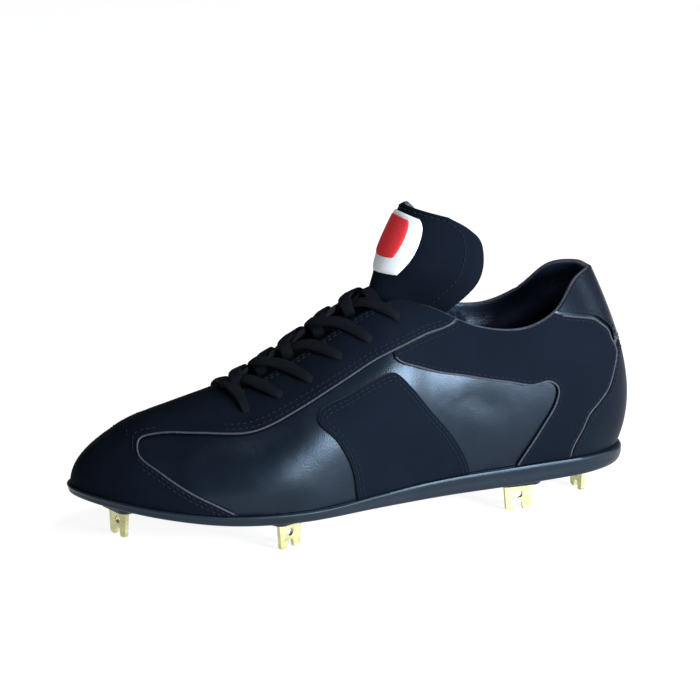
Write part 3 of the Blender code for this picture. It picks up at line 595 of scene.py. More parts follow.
def shell(name, inside, outside, materials, rim_steps=0):
    """A closed wall between two offsets of the last; the offsets are arrays like the last's grid.

    Faces outside take the first material, faces inside the second and the rims the third.
    """
    points, normals = last_grid()
    rounds = stations()
    count = len(rounds)
    bm = bmesh.new()
    layers = []
    for offset in (outside, inside):
        spots = points + normals * offset[..., None]
        grid = {}
        for i, (side, share) in enumerate(rounds):
            mirror = (count - i) % count
            for j in range(LEVELS + 1):
                if side == INNER and j == LEVELS and not throat_open(share):
                    grid[i, j] = grid[mirror, j]
                    continue
                spot = Vector(spots[i, j])
                if j == 0:
                    spot.z = sole_top(spot.x / SOLE_LENGTH) + GAP
                grid[i, j] = bm.verts.new(spot)
        layers.append(grid)
    outer_grid, inner_grid = layers
    rims = {}
    for i, (side, share) in enumerate(rounds):
        a, b = outer_grid[i, LEVELS], inner_grid[i, LEVELS]
        rise = Vector(points[i, -1] - points[i, -2]).normalized()
        swell = (a.co - b.co).length / 2 * min(1.0, 3 * slit_factor(read(RIBS, share)[0]))
        middle = (a.co + b.co) / 2
        mirror = (count - i) % count
        if not throat_open(share) and side == INNER:
            rims[i] = rims[mirror]
            continue
        row = [a]
        for k in range(1, rim_steps):
            turn = math.pi * k / rim_steps
            spot = middle + (a.co - b.co) / 2 * math.cos(turn) + rise * swell * math.sin(turn)
            row.append(bm.verts.new(spot) if throat_open(share) or i and throat_open(rounds[i - 1][1]) else a)
        rims[i] = row + [b]
    for i in range(count):
        n = (i + 1) % count
        for j in range(LEVELS):
            quad(bm, outer_grid[i, j], outer_grid[n, j], outer_grid[n, j + 1], outer_grid[i, j + 1])
            quad(bm, inner_grid[i, j], inner_grid[i, j + 1], inner_grid[n, j + 1], inner_grid[n, j], 1)
        quad(bm, outer_grid[i, 0], inner_grid[i, 0], inner_grid[n, 0], outer_grid[n, 0], 2)
        if throat_open(rounds[i][1]) or throat_open(rounds[n][1]):
            for k in range(len(rims[i]) - 1):
                quad(bm, rims[i][k], rims[n][k], rims[n][k + 1], rims[i][k + 1], 2)
    return finish_object(name, bm, materials)


def even_offset(value):
    points, _ = last_grid()
    return np.full(points.shape[:2], value)


FOLD_COUNT = 75
FOLD_DEPTH = 0.0011

# Places along the ribs: where the padding fades out, and where the folds begin and end
PAD_END = 0.30
PAD_FADE = 0.12
FOLDS_FROM = 0.24
FOLDS_TO = 0.47


def lining_offset():
    """The lining's depth: padded under the collar, gathered in small folds beside the tongue."""
    t = np.linspace(0, 1, LEVELS + 1)
    offset = np.zeros((len(stations()), LEVELS + 1))
    for i, (_, share) in enumerate(stations()):
        padded = smooth(1 - (share - PAD_END) / PAD_FADE)
        bump = np.sin(np.pi * np.array([smooth((v - 0.55) / 0.45) for v in t])) ** 2
        folds = smooth((share - FOLDS_FROM) / 0.06) * smooth((FOLDS_TO - share) / 0.05)
        ripple = 0.5 - 0.5 * math.cos(share * 2 * math.pi * FOLD_COUNT)
        high = np.array([smooth((v - 0.70) / 0.16) * smooth((1.0 - v) / 0.06) for v in t])
        offset[i] = -(WALL + COLLAR_PAD * padded * bump) + FOLD_DEPTH * folds * ripple * high
    return offset


def build_upper(gloss, lining, edge):
    upper = shell("upper_wall", lining_offset(), even_offset(0.0), (gloss, lining, edge), RIM_STEPS)
    return dress(upper, "gloss_navy", "upper")


def side_prism(name, corners, near, far, material):
    bm = bmesh.new()
    prism(bm, side_curve(corners, OUTLINE_STEPS), near, far)
    return finish_object(name, bm, (material,))


CUT_REACH = 0.080
CUT_STRIP = 0.004
BOTH_SIDES = (-CUT_REACH, CUT_REACH)
OUTER_SIDE = (CUT_STRIP, CUT_REACH)
INNER_SIDE = (-CUT_REACH, -CUT_STRIP)
OVERLAYS = (
    # solid that it dresses, finish, outline in the side view, reach across
    ("vamp_overlay", "matte", VAMP, BOTH_SIDES),
    ("heel_tab", "tab", HEEL_TAB, BOTH_SIDES),
    ("heel_counter", "satin", COUNTER, BOTH_SIDES),
    ("saddle_outer", "matte", SADDLE, OUTER_SIDE),
    ("saddle_inner", "matte", SADDLE, INNER_SIDE),
    ("quarter_outer", "matte", QUARTER, OUTER_SIDE),
    ("quarter_inner", "matte", QUARTER, INNER_SIDE),
)


def build_overlays(finishes, edge):
    """Overlays cut from one form by outlines in the side view; the cut faces show the pale core."""
    bed, top = even_offset(GAP / 3), even_offset(GAP + OVERLAY)
    forms = {}
    for name, material in finishes.items():
        forms[name] = shell(name + "_form", bed, top, (material, edge, edge))
    for solid, name, corners, reach in OVERLAYS:
        tool = side_prism("cutter", corners, *reach, edge)
        piece = forms[name].copy()
        piece.data = piece.data.copy()
        piece.name = solid + "_panel"
        bpy.context.scene.collection.objects.link(piece)
        apply_cut(piece, tool, "INTERSECT")
        piece.data.set_sharp_from_angle(angle=math.radians(SHARP))
        dress(piece, "matte_navy" if name == "matte" else "gloss_navy", solid)
    for form in forms.values():
        bpy.data.objects.remove(form, do_unlink=True)


# Points on the upper for stitches, holes and laces

@lru_cache(maxsize=None)
def outer_tree():
    """The outside of the overlays as a tree for rays."""
    points, normals = last_grid()
    spots = points + normals * (GAP + OVERLAY)
    count, levels = spots.shape[:2]
    verts = [Vector(p) for p in spots.reshape(-1, 3)]
    faces = []
    for i in range(count):
        n = (i + 1) % count
        for j in range(levels - 1):
            faces.append((i * levels + j, n * levels + j, n * levels + j + 1, i * levels + j + 1))
    return BVHTree.FromPolygons(verts, faces)


RAY_START = 0.12


def side_hit(side, x, z):
    """Where a level line from the outer or inner side meets the overlays, and the normal there."""
    spot, normal, _, _ = outer_tree().ray_cast(Vector((x, side * RAY_START, z)), Vector((0, -side, 0)))
    if spot is None or spot.y * side < 0.001 and z < 0.05:
        return None
    return spot, normal if normal.y * side > 0 else -normal


def inset_path(corners, inset):
    """An outline of an overlay moved in by a distance, as flat points."""
    points = side_curve(corners, SEAM_STEPS)
    area = sum(a.cross(b) for a, b in zip(points, points[1:] + points[:1]))
    turn = 1 if area > 0 else -1
    moved = []
    for k, p in enumerate(points):
        way = (points[(k + 1) % len(points)] - points[k - 1]).normalized()
        moved.append(p + Vector((-way.y, way.x)) * turn * inset)
    return moved


STITCH_PITCH = 0.0031
STITCH_LENGTH = 0.0024
STITCH_RADIUS = 0.00028
STITCH_FORM = (
    # place along the thread, thickness, lift
    (-0.50, 0.45, -0.50),
    (-0.36, 0.90, 0.25),
    (0.00, 1.00, 0.50),
    (0.36, 0.90, 0.25),
    (0.50, 0.45, -0.50),
)
STITCH_INSET = 0.0016
SECOND_ROW = 0.0034
SEAM_BREAK = 0.006


def stitch(bm, middle, way, normal):
    """One short thread that dips into the leather at both ends."""
    side = way.cross(normal).normalized()
    rings = []
    for place, size, lift in STITCH_FORM:
        centre = middle + way * place * STITCH_LENGTH + normal * lift * STITCH_RADIUS
        rings.append(hoop(bm, centre, side, normal, STITCH_RADIUS * size, 6))
    skin(bm, rings)


def stitch_line(bm, spots):
    """Stitches at an even pitch along points that each have a normal; None or a gap breaks the line."""
    run = 0.0
    for near, far in zip(spots, spots[1:]):
        if near is None or far is None:
            run = 0.0
            continue
        step = (far[0] - near[0]).length
        if step > SEAM_BREAK or step < 1e-7:
            continue
        way = (far[0] - near[0]) / step
        while run < step:
            stitch(bm, near[0] + way * run, way, near[1])
            run += STITCH_PITCH
        run -= step


def seam_spots(side, corners, inset, keep):
    """Points of a seam inside an overlay's outline, where the outline meets the upper."""
    spots = []
    for p in inset_path(corners, inset):
        along, height = p.x / SOLE_LENGTH, p.y / INSTEP_HEIGHT
        hit = side_hit(side, p.x, p.y) if keep(along, height) else None
        spots.append(hit)
    return spots


def on_vamp(a, h):
    return a < 0.905 and 0.20 < h < 1.16 and not (a > 0.76 and h > 0.66)


SEAMS = (
    # outline, where a seam runs along it (place along, height), rows of stitches
    (VAMP, on_vamp, (STITCH_INSET, SECOND_ROW)),
    (QUARTER, lambda a, h: 0.25 < h < 1.12, (STITCH_INSET,)),
    (COUNTER, lambda a, h: a > 0.01 and h > 0.28, (STITCH_INSET,)),
    (HEEL_TAB, lambda a, h: a > 0.00 and h < 1.15, (STITCH_INSET,)),
    (SADDLE, lambda a, h: 0.26 < h < 0.99, (STITCH_INSET, SECOND_ROW)),
)
EYESTAY_ROWS = (0.0018, 0.0036)
EYESTAY_RUN = (0.448, 0.722)
EYESTAY_STEPS = 120


def build_stitches(thread):
    bm = bmesh.new()
    for side in (OUTER, INNER):
        for corners, keep, insets in SEAMS:
            for inset in insets:
                spots = seam_spots(side, corners, inset, keep)
                stitch_line(bm, spots + spots[:1])
    for side in (OUTER, INNER):
        for back in EYESTAY_ROWS:
            places = [mix(*EYESTAY_RUN, k / EYESTAY_STEPS) for k in range(EYESTAY_STEPS + 1)]
            stitch_line(bm, [eyestay_spot(side, along, back, OVERLAY + GAP) for along in places])
    return dress(finish_object("stitches", bm, (thread,), THREAD_SHARP), "matte_navy")


PIPED = (
    (VAMP, on_vamp),
    (QUARTER, lambda a, h: 0.25 < h < 1.12 and not (0.34 < a and h > 1.112 - 0.924 * (a - 0.342))),
    (HEEL_TAB, lambda a, h: a > 0.00 and h < 0.94),
)
PIPING_RADIUS = 0.00050
PIPING_LIFT = -0.00010
PIPING_STEP = 0.0006


def bead(bm, spots):
    """A fine round bead along points that each have a normal."""
    rings = []
    for k, (spot, normal) in enumerate(spots):
        way = (spots[min(k + 1, len(spots) - 1)][0] - spots[max(k - 1, 0)][0]).normalized()
        side = way.cross(normal).normalized()
        up = side.cross(way).normalized()
        rings.append(hoop(bm, spot + normal * PIPING_LIFT, side, up, PIPING_RADIUS, 8))
    skin(bm, rings)


def runs_of(spots):
    """Splits points into unbroken runs, eased a little; None and long steps break a run."""
    runs, run = [], []
    for spot in spots + [None]:
        if spot is None or run and (spot[0] - run[-1][0]).length > SEAM_BREAK:
            if len(run) > 6:
                runs.append(run)
            run = []
        if spot is not None and (not run or (spot[0] - run[-1][0]).length > PIPING_STEP):
            run.append(spot)
    for k, run in enumerate(runs):
        for _ in range(2):
            eased = [run[0]]
            for a, b, c in zip(run, run[1:], run[2:]):
                eased.append((a[0] / 4 + b[0] / 2 + c[0] / 4, (a[1] + b[1] * 2 + c[1]).normalized()))
            run = eased + [run[-1]]
        runs[k] = run
    return runs


def build_piping(edge):
    """A fine pale bead along the cut edges of the overlays."""
    bm = bmesh.new()
    for side in (OUTER, INNER):
        for corners, keep in PIPED:
            spots = seam_spots(side, corners, 0.0, keep)
            start = next((k for k, spot in enumerate(spots) if spot is None), 0)
            for run in runs_of(spots[start:] + spots[:start]):
                bead(bm, run)
    return dress(finish_object("seam_piping", bm, (edge,), THREAD_SHARP), "matte_navy")


@lru_cache(maxsize=None)
def rib_curve(side, share):
    """Points of a rib from its top down to the sole."""
    a, b, c, d = rib_ends(side, share)
    curve = []
    for k in range(CURVE_STEPS + 1):
        t = 1 - k / CURVE_STEPS
        s = 1 - t
        curve.append(a * s ** 3 + b * 3 * s * s * t + c * 3 * s * t * t + d * t ** 3)
    return curve


def eyestay_spot(side, along, back, lift):
    """A point on the upper beside the throat: how far back from the throat's edge, lifted off it."""
    share = share_of_top(along)
    curve = rib_curve(side, share)
    left = back
    for near, far in zip(curve, curve[1:]):
        step = (far - near).length
        if left <= step:
            break
        left -= step
    spot = near.lerp(far, left / step)
    down = (far - near).normalized()
    third = CURVE_STEPS // 3
    other = rib_curve(side, share + 0.01)[third] - rib_curve(side, share - 0.01)[third]
    normal = down.cross(other).normalized() * -side
    return spot + normal * lift, normal


# Throat, tongue and laces

def crest_point(along):
    share = share_of_top(along)
    ends = [rib_top(side, share) for side in (OUTER, INNER)]
    middle = (ends[0] + ends[1]) / 2
    half = (ends[0] - ends[1]).length / 2
    middle.z += half ** 2 / (2 * INSTEP_RADIUS)
    return middle


def crest_frame(along):
    step = 0.01
    slope = crest_point(along + step) - crest_point(along - step)
    slope.y = 0.0
    slope.normalize()
    return crest_point(along), Vector((-slope.z, 0.0, slope.x))


@lru_cache(maxsize=None)
def tongue_rows():
    rows = []
    for along, turn, sink in TONGUE_FOOT:
        spot, up = crest_frame(along)
        bed = sink * WALL + GAP
        spot = spot - up * bed
        tilt = math.degrees(math.atan2(up.z, up.x))
        round_off = INSTEP_RADIUS - bed
        rows.append((len(rows), spot.x, spot.y, spot.z, tilt, round_off, round_off, -turn, turn))
    base = crest_point(THROAT_TOP).z
    foot = rows[-1][3]
    for rise, along, tilt, half, depth, inner, outer in TONGUE:
        height = mix(foot, base + TONGUE_RISE, rise)
        rows.append((len(rows), along * SOLE_LENGTH, 0.0, height, tilt,
                     half * TONGUE_WIDTH, depth * TONGUE_WIDTH, inner, outer))
    return tuple(rows)


def tongue_point(v, u, inward=0.0):
    """A point of the tongue: v from its foot to its top, u from the inner edge to the outer edge."""
    rows = tongue_rows()
    x, y, z, tilt, half, depth, inner, outer = read(rows, v * (len(rows) - 1))
    turn = math.radians(mix(inner, outer, u))
    half, depth = half - inward, depth - inward
    back = Vector((-math.cos(math.radians(tilt)), 0.0, -math.sin(math.radians(tilt))))
    start = Vector((x, y, z)) + back * inward
    return start + Vector((0.0, half * math.sin(turn), 0.0)) + back * depth * (1 - math.cos(turn))


TONGUE_ROWS = 110
TONGUE_COLUMNS = 60
TONGUE_BIND = 0.06
GROOVE_DEPTH = 0.00055
GROOVE_BREADTH = 0.012
RISE_SHARE = 1.6
BINDING_SEAM = 0.085
SEAM_FOOT = 0.52


def tongue_depth(v, u, inward):
    """Depth into the tongue: thinner towards its edges, with a soft dimple line inside the binding."""
    rim = min(u, 1 - u, (1 - v) * RISE_SHARE)
    thin = smooth(rim / 0.05)
    groove = GROOVE_DEPTH * math.exp(-((rim - TONGUE_BIND) / GROOVE_BREADTH) ** 2)
    half = TONGUE_THICK / 2
    level = mix(0.35, 1.0, thin) * half
    return half + (inward * 2 - 1) * level + (groove if inward == 0 else 0.0)


def sheet(name, point, rows, columns, materials):
    """A closed sheet from a function of v, u and a side: nothing for the front, one for the back."""
    bm = bmesh.new()
    layers = []
    for side in (0, 1):
        layers.append([[bm.verts.new(point(i / rows, j / columns, side)) for j in range(columns + 1)]
                       for i in range(rows + 1)])
    top, low = layers
    for i in range(rows):
        for j in range(columns):
            quad(bm, top[i][j], top[i + 1][j], top[i + 1][j + 1], top[i][j + 1])
            quad(bm, low[i][j], low[i][j + 1], low[i + 1][j + 1], low[i + 1][j], len(materials) - 1)
    rim = ([(0, j) for j in range(columns)] + [(i, columns) for i in range(rows)]
           + [(rows, j) for j in range(columns, 0, -1)] + [(i, 0) for i in range(rows, 0, -1)])
    for k, (i, j) in enumerate(rim):
        m, n = rim[(k + 1) % len(rim)]
        quad(bm, top[i][j], top[m][n], low[m][n], low[i][j])
    return finish_object(name, bm, materials, 70)


def build_tongue(matte, lining, thread):
    tongue = sheet("tongue_pad", lambda v, u, side: tongue_point(v, u, tongue_depth(v, u, side)),
                   TONGUE_ROWS, TONGUE_COLUMNS, (matte, lining))
    dress(tongue, "matte_navy", "tongue")
    bm = bmesh.new()
    rim, top = BINDING_SEAM, 1 - BINDING_SEAM / RISE_SHARE
    steps = [k / TONGUE_COLUMNS for k in range(TONGUE_COLUMNS)]
    line = [(mix(SEAM_FOOT, top, t), rim) for t in steps]
    line += [(top, mix(rim, 1 - rim, t)) for t in steps]
    line += [(mix(top, SEAM_FOOT, t), 1 - rim) for t in steps]
    spots = []
    for v, u in line:
        here = tongue_point(v, u, tongue_depth(v, u, 0))
        normal = (here - tongue_point(v, u, 0.01)).normalized()
        spots.append((here, normal))
    stitch_line(bm, spots)
    dress(finish_object("tongue_stitches", bm, (thread,), THREAD_SHARP), "matte_navy")


PATCH_PLACE = (0.668, 0.900)
PATCH_SPREAD = (0.20, 0.69)
PATCH_ROUND = 0.22
PATCH_FIELD = 0.66
PATCH_BED = 0.0002
PATCH_LIFT = 0.0004


def patch_point(v, u, side, scale, lift):
    """A point of the plain patch on the tongue's front, with its corners drawn in on a round."""
    a, b = 2 * v - 1, 2 * u - 1
    a, b = a * math.sqrt(1 - PATCH_ROUND * b * b), b * math.sqrt(1 - PATCH_ROUND * a * a)
    a, b = a * scale, b * scale
    low, high = PATCH_PLACE
    left, right = PATCH_SPREAD
    rim = max(abs(2 * v - 1), abs(2 * u - 1))
    height = PATCH_THICK * (1 - smooth((rim - 0.9) / 0.1)) * 0.6
    v, u = mix(low, high, (a + 1) / 2), mix(left, right, (b + 1) / 2)
    return tongue_point(v, u, PATCH_BED if side else -PATCH_LIFT - height - lift)


def build_patch(white, red):
    patch = sheet("tongue_patch_base", lambda v, u, s: patch_point(v, u, s, 1.0, 0.0), 30, 30, (white,))
    dress(patch, "patch_white", "tongue_patch")
    field = sheet("tongue_patch_field", lambda v, u, s: patch_point(v, u, s, PATCH_FIELD, PATCH_LIFT),
                  24, 24, (red,))
    dress(field, "patch_white")


# How far each hole lies behind the throat's edge
HOLE_BACK = (0.0156, 0.0176, 0.0192, 0.0184, 0.0190, 0.0150)
LACE_PUFF = 0.0020
HOLE_RADIUS = 0.0021
HOLE_FORM = (
    # radius as a share of the hole's, lift
    (1.25, -0.00002),
    (1.08, 0.00012),
    (1.00, 0.00000),
    (0.92, -0.00040),
    (0.30, -0.00060),
)
LACE_ROWS = 40
LACE_SECTION = 12
LACE_FINE = 16

# How far ahead of its hole each crossing starts, as a share of the way to the next hole
LACE_LEAD = (0.05, 0.40, 0.48, 0.50, 0.46)
TOP_BAR_AHEAD = 0.031


def even_path(points, count):
    """Even points of a smooth open curve through given ones."""
    ends = [points[0] * 2 - points[1]] + points + [points[-1] * 2 - points[-2]]
    dense = []
    for a, b, c, d in zip(ends, ends[1:], ends[2:], ends[3:]):
        for k in range(LACE_FINE):
            t = k / LACE_FINE
            dense.append(0.5 * (2 * b + (c - a) * t + (2 * a - 5 * b + 4 * c - d) * t * t
                                + (3 * b - a - 3 * c + d) * t ** 3))
    dense.append(points[-1])
    reach = reaches(dense)
    even = []
    k = 0
    for i in range(count + 1):
        goal = reach[-1] * i / count
        while k < len(reach) - 2 and reach[k + 1] < goal:
            k += 1
        even.append(dense[k].lerp(dense[k + 1], (goal - reach[k]) / max(reach[k + 1] - reach[k], 1e-9)))
    return even, reach[-1]


def throat_spot(along, across, lift):
    """A point over the throat: on the instep's round between its edges and on the upper beyond them."""
    share = share_of_top(along)
    edge = abs(rib_top(OUTER, share).y - crest_across(along))
    side = OUTER if across > 0 else INNER
    if abs(across) > edge:
        return eyestay_spot(side, along, abs(across) - edge, lift)
    spot, up = crest_frame(along)
    centre = spot - up * INSTEP_RADIUS
    turn = math.asin(across / INSTEP_RADIUS)
    normal = up * math.cos(turn) + Vector((0.0, math.sin(turn), 0.0))
    return centre + normal * (INSTEP_RADIUS + lift), normal


def lace_strand(bm, uv, knots):
    """A flat lace along places given as along, across, lift and share of its full width."""
    spots = [throat_spot(along, across, lift) for along, across, lift, _ in knots]
    path, length = even_path([s for s, _ in spots], LACE_ROWS)
    rings = []
    for i, middle in enumerate(path):
        share = i / LACE_ROWS * (len(knots) - 1)
        k = min(int(share), len(knots) - 2)
        blend = smooth(share - k)
        width = LACE_WIDTH * mix(knots[k][3], knots[k + 1][3], blend)
        thick = LACE_PUFF * mix(1.15, 1.0, width / LACE_WIDTH)
        up = spots[k][1].lerp(spots[k + 1][1], share - k).normalized()
        way = (path[min(i + 1, LACE_ROWS)] - path[max(i - 1, 0)]).normalized()
        side = way.cross(up).normalized()
        up = side.cross(way).normalized()
        ring = []
        for n in range(LACE_SECTION):
            a = 2 * math.pi * n / LACE_SECTION
            x = math.copysign(abs(math.cos(a)) ** 0.55, math.cos(a)) * width / 2
            y = math.copysign(abs(math.sin(a)) ** 0.75, math.sin(a)) * thick / 2
            ring.append(bm.verts.new(middle + side * x + up * y))
        rings.append(ring)
    for i, row in enumerate(skin(bm, rings)):
        for n, face in enumerate(row):
            for loop, (u, v) in zip(face.loops, ((n, i), (n + 1, i), (n + 1, i + 1), (n, i + 1))):
                loop[uv].uv = (u / LACE_SECTION, v / LACE_ROWS * length / LACE_WIDTH)


def lace_bar(bm, uv, half):
    """A strand straight across, from its outer half."""
    lace_strand(bm, uv, half + [(along, -across, lift, width) for along, across, lift, width in half[-2::-1]])


def build_laces(cotton):
    """A bar at the toe end, crossings from under one eyestay to the next hole, and a bar at the top."""
    bm = bmesh.new()
    uv = bm.loops.layers.uv.new("UVMap")
    on = OVERLAY + GAP + LACE_PUFF / 2 - 0.0001
    edge = THROAT_HALF
    first, hole = EYELETS[0], edge + HOLE_BACK[0]
    lace_bar(bm, uv, [
        (first, hole, -0.0016, 0.5),
        (first, hole - 0.0026, on, 0.75),
        (first + 0.004, edge + 0.001, on + 0.0005, 1.0),
        (first + 0.008, 0.0, on + 0.0012, 1.0),
    ])
    for k, (low, high) in enumerate(zip(EYELETS, EYELETS[1:])):
        hole = edge + HOLE_BACK[k + 1]
        step = high - low
        start = low - LACE_LEAD[k] * step
        for side in (OUTER, INNER):
            top = on + 0.0002 + (LACE_PUFF - 0.0003 if (side == OUTER) == (k % 2 == 0) else 0.0)
            route = [
                (start, side * (edge + 0.0030), -0.0038, 0.75),
                (start + 0.04 * step, side * (edge - 0.0030), -0.0010, 0.9),
                (start + 0.14 * step, side * 0.0045, top - 0.0003, 1.0),
                (start + 0.26 * step, -side * 0.0020, top, 1.0),
                (mix(start, high, 0.46), -side * (edge - 0.0005), on + 0.0008, 1.0),
                (mix(start, high, 0.88), -side * (hole - 0.0030), on, 0.85),
                (high, -side * (hole + 0.0004), -0.0020, 0.5),
            ]
            lace_strand(bm, uv, route)
    last = EYELETS[-1] + TOP_BAR_AHEAD
    lace_bar(bm, uv, [
        (last, edge + 0.0030, -0.0038, 0.75),
        (last, edge - 0.0030, -0.0006, 0.9),
        (last - 0.001, 0.0, on + 0.0004, 1.0),
    ])
    return dress(finish_object("lace_run", bm, (cotton,), 80), "lace_black", "laces")


def build_holes(dark):
    """Punched lace holes: a shallow cup coloured near-black as painted shade of the hole's depth, with a soft
    lip at each eyelet.
    """
    bm = bmesh.new()
    for along, back in zip(EYELETS, HOLE_BACK):
        for side in (OUTER, INNER):
            spot, normal = throat_spot(along, side * (THROAT_HALF + back), OVERLAY + GAP)
            across = normal.cross(Vector((1, 0, 0))).normalized()
            ahead = across.cross(normal)
            rings = [hoop(bm, spot + normal * lift, across, ahead, HOLE_RADIUS * radius, 20)
                     for radius, lift in HOLE_FORM]
            skin(bm, rings, (-1,))
    return dress(finish_object("lace_holes", bm, (dark,), THREAD_SHARP), "matte_navy")


# Sole, insole and blades

HEEL_BULGE = 0.0020
BULGE_END = 0.16
SOLE_MIDDLE = (0.12, 0.88)


def sole_loop(bm, inset, height, towards=0.0, lift=0.0):
    """One ring of the sole: outline inset, height from underside to top, share drawn to the middle."""
    ring = []
    for side, share in both_sides([k / SOLE_COUNT for k in range(SOLE_COUNT + 1)]):
        bulge = HEEL_BULGE * smooth(1 - share / BULGE_END) * max(0.0, 4 * height * (1 - height))
        flat, _ = edge_point(side, share, inset - bulge)
        along = flat.x / SOLE_LENGTH
        middle = Vector((mix(*SOLE_MIDDLE, along) * SOLE_LENGTH, crest_across(along)))
        flat = flat.lerp(middle, towards)
        along = flat.x / SOLE_LENGTH
        low = underside(along) + arch(along, flat.y) * (1 - 0.5 * towards)
        ring.append(bm.verts.new((flat.x, flat.y, mix(low, sole_top(along), height) + lift)))
    return ring


def join_rings(bm, rings):
    for low, high in zip(rings, rings[1:]):
        for i in range(len(low)):
            j = (i + 1) % len(low)
            quad(bm, low[i], low[j], high[j], high[i])
    for ring in (rings[0], rings[-1]):
        count = len(ring)
        for i in range(count // 2):
            quad(bm, ring[i], ring[i + 1], ring[(count - i - 1) % count], ring[(count - i) % count])


SOLE_PROFILE = (
    # inset as a share of the ledge, height, share drawn to the middle
    (1.60, 0.00, 0.62),
    (1.60, 0.00, 0.30),
    (1.60, 0.00, 0.00),
    (0.90, -0.01, 0.00),
    (0.52, 0.02, 0.00),
    (0.34, 0.10, 0.00),
    (0.26, 0.25, 0.00),
    (0.22, 0.45, 0.00),
    (0.18, 0.62, 0.00),
    (0.08, 0.72, 0.00),
    (0.00, 0.80, 0.00),
    (0.00, 0.90, 0.00),
    (0.10, 0.98, 0.00),
    (0.30, 1.00, 0.00),
    (0.90, 1.00, 0.00),
    (2.00, 1.00, 0.00),
    (2.00, 1.00, 0.50),
)
INSOLE_PROFILE = (
    # inset past the insole's own, share drawn to the middle, lift
    (0.0000, 0.5, GAP),
    (0.0000, 0.0, GAP),
    (0.0000, 0.0, 0.80 * INSOLE_THICK),
    (0.0006, 0.0, 1.00 * INSOLE_THICK),
    (0.0030, 0.0, 1.02 * INSOLE_THICK),
    (0.0000, 0.5, 0.92 * INSOLE_THICK),
)
BOSS_PROFILE = (
    # share of the way up into the sole, size
    (0.00, 0.86),
    (0.00, 0.93),
    (0.06, 0.98),
    (0.16, 1.00),
    (1.00, 1.00),
)


def rounded_outline(length, width, radius, steps):
    points = []
    for turn, (sx, sy) in enumerate(((1, 1), (-1, 1), (-1, -1), (1, -1))):
        centre = Vector((sx * (length / 2 - radius), sy * (width / 2 - radius)))
        points += arc(centre, radius, 90 * turn, 90 * (turn + 1), steps)
    return points


def blade_place(row):
    _, along, across, turn = row
    spot = Vector((along * SOLE_LENGTH, across * BALL_WIDTH, 0.0))
    return Matrix.Translation(spot) @ Matrix.Rotation(math.radians(turn), 4, "Z")


def boss_forms(material):
    """Bosses with a rounded lower edge that come down from the sole to the blades."""
    bm = bmesh.new()
    outline = rounded_outline(BOSS_LENGTH, BOSS_WIDTH, BOSS_ROUND, 8)
    for row in BLADES:
        seat = blade_place(row)
        rings = []
        for level, shrink in BOSS_PROFILE:
            ring = []
            for p in outline:
                spot = seat @ Vector((p.x, p.y, 0.0))
                along = spot.x / SOLE_LENGTH
                height = mix(BLADE_REACH, mix(underside(along), sole_top(along), BOSS_SINK), level)
                size = shrink * (1 + BOSS_FLARE * (height - BLADE_REACH) / BOSS_WIDTH)
                spot = seat @ Vector((p.x * size, p.y * size, 0.0))
                spot.z = height
                ring.append(bm.verts.new(spot))
            rings.append(ring)
        skin(bm, rings)
    return finish_object("boss_forms", bm, (material,))


def build_outsole(rubber):
    bm = bmesh.new()
    rings = [sole_loop(bm, inset * SOLE_LEDGE, height, towards) for inset, height, towards in SOLE_PROFILE]
    join_rings(bm, rings)
    sole = finish_object("sole_plate", bm, (rubber,), SOLE_SHARP)
    apply_cut(sole, boss_forms(rubber), "UNION")
    sole.data.set_sharp_from_angle(angle=math.radians(SOLE_SHARP))
    return dress(sole, "sole_black", "outsole")


def build_insole(lining):
    bm = bmesh.new()
    rings = [sole_loop(bm, INSOLE_INSET + inset, 1.0, towards, lift)
             for inset, towards, lift in INSOLE_PROFILE]
    join_rings(bm, rings)
    return dress(finish_object("insole_bed", bm, (lining,)), "insole_black", "insole")


def blade_outline():
    """A plate that narrows to its foot, with a notch in the middle of the foot."""
    half = BLADE_WIDTH / 2
    notch = BLADE_NOTCH / 2
    foot = BLADE_TAPER * half - BLADE_CORNER
    points = arc(Vector((0.0, NOTCH_REACH * notch)), notch, 90, 0, 8)
    points.append(Vector((NOTCH_REACH * notch, 0.0)))
    points += arc(Vector((foot, BLADE_CORNER)), BLADE_CORNER, -90, 0, 8)
    points.append(Vector((half, BLADE_REACH)))
    points.append(Vector((half, BLADE_REACH + BLADE_ROOT)))
    return points + [Vector((-p.x, p.y)) for p in points[:0:-1]]


def build_blades(brass):
    for row in BLADES:
        bm = bmesh.new()
        prism(bm, blade_outline(), -BLADE_THICK / 2, BLADE_THICK / 2)
        plate = finish_object(row[0] + "_plate", bm, (brass,))
        hole = bmesh.new()
        turned = Matrix.Translation((0, 0, HOLE_PLACE * BLADE_REACH)) @ Matrix.Rotation(math.pi / 2, 4, "X")
        bmesh.ops.create_cone(hole, cap_ends=True, segments=32, radius1=BLADE_HOLE / 2,
                              radius2=BLADE_HOLE / 2, depth=3 * BLADE_THICK, matrix=turned)
        apply_cut(plate, finish_object("hole", hole, (brass,)), "DIFFERENCE")
        bevel = plate.modifiers.new("edges", "BEVEL")
        bevel.width = BLADE_BEVEL
        bevel.segments = 2
        bevel.limit_method = "ANGLE"
        bevel.angle_limit = math.radians(40)
        plate.data.transform(blade_place(row))
        dress(plate, "blade_brass", row[0])


# Materials

def new_material(name):
    material = bpy.data.materials.new(name)
    material.use_nodes = True
    tree = material.node_tree
    return material, tree, tree.nodes["Principled BSDF"]


def node(tree, kind, **values):
    made = tree.nodes.new(kind)
    for key, value in values.items():
        if key in made.inputs:
            made.inputs[key].default_value = value
        else:
            setattr(made, key.lower(), value)
    return made


def maths(tree, operation, *terms):
    """The result of a maths node whose terms are numbers or outputs."""
    made = node(tree, "ShaderNodeMath", operation=operation)
    for socket, term in zip(made.inputs, terms):
        if isinstance(term, float):
            socket.default_value = term
        else:
            tree.links.new(term, socket)
    return made.outputs[0]


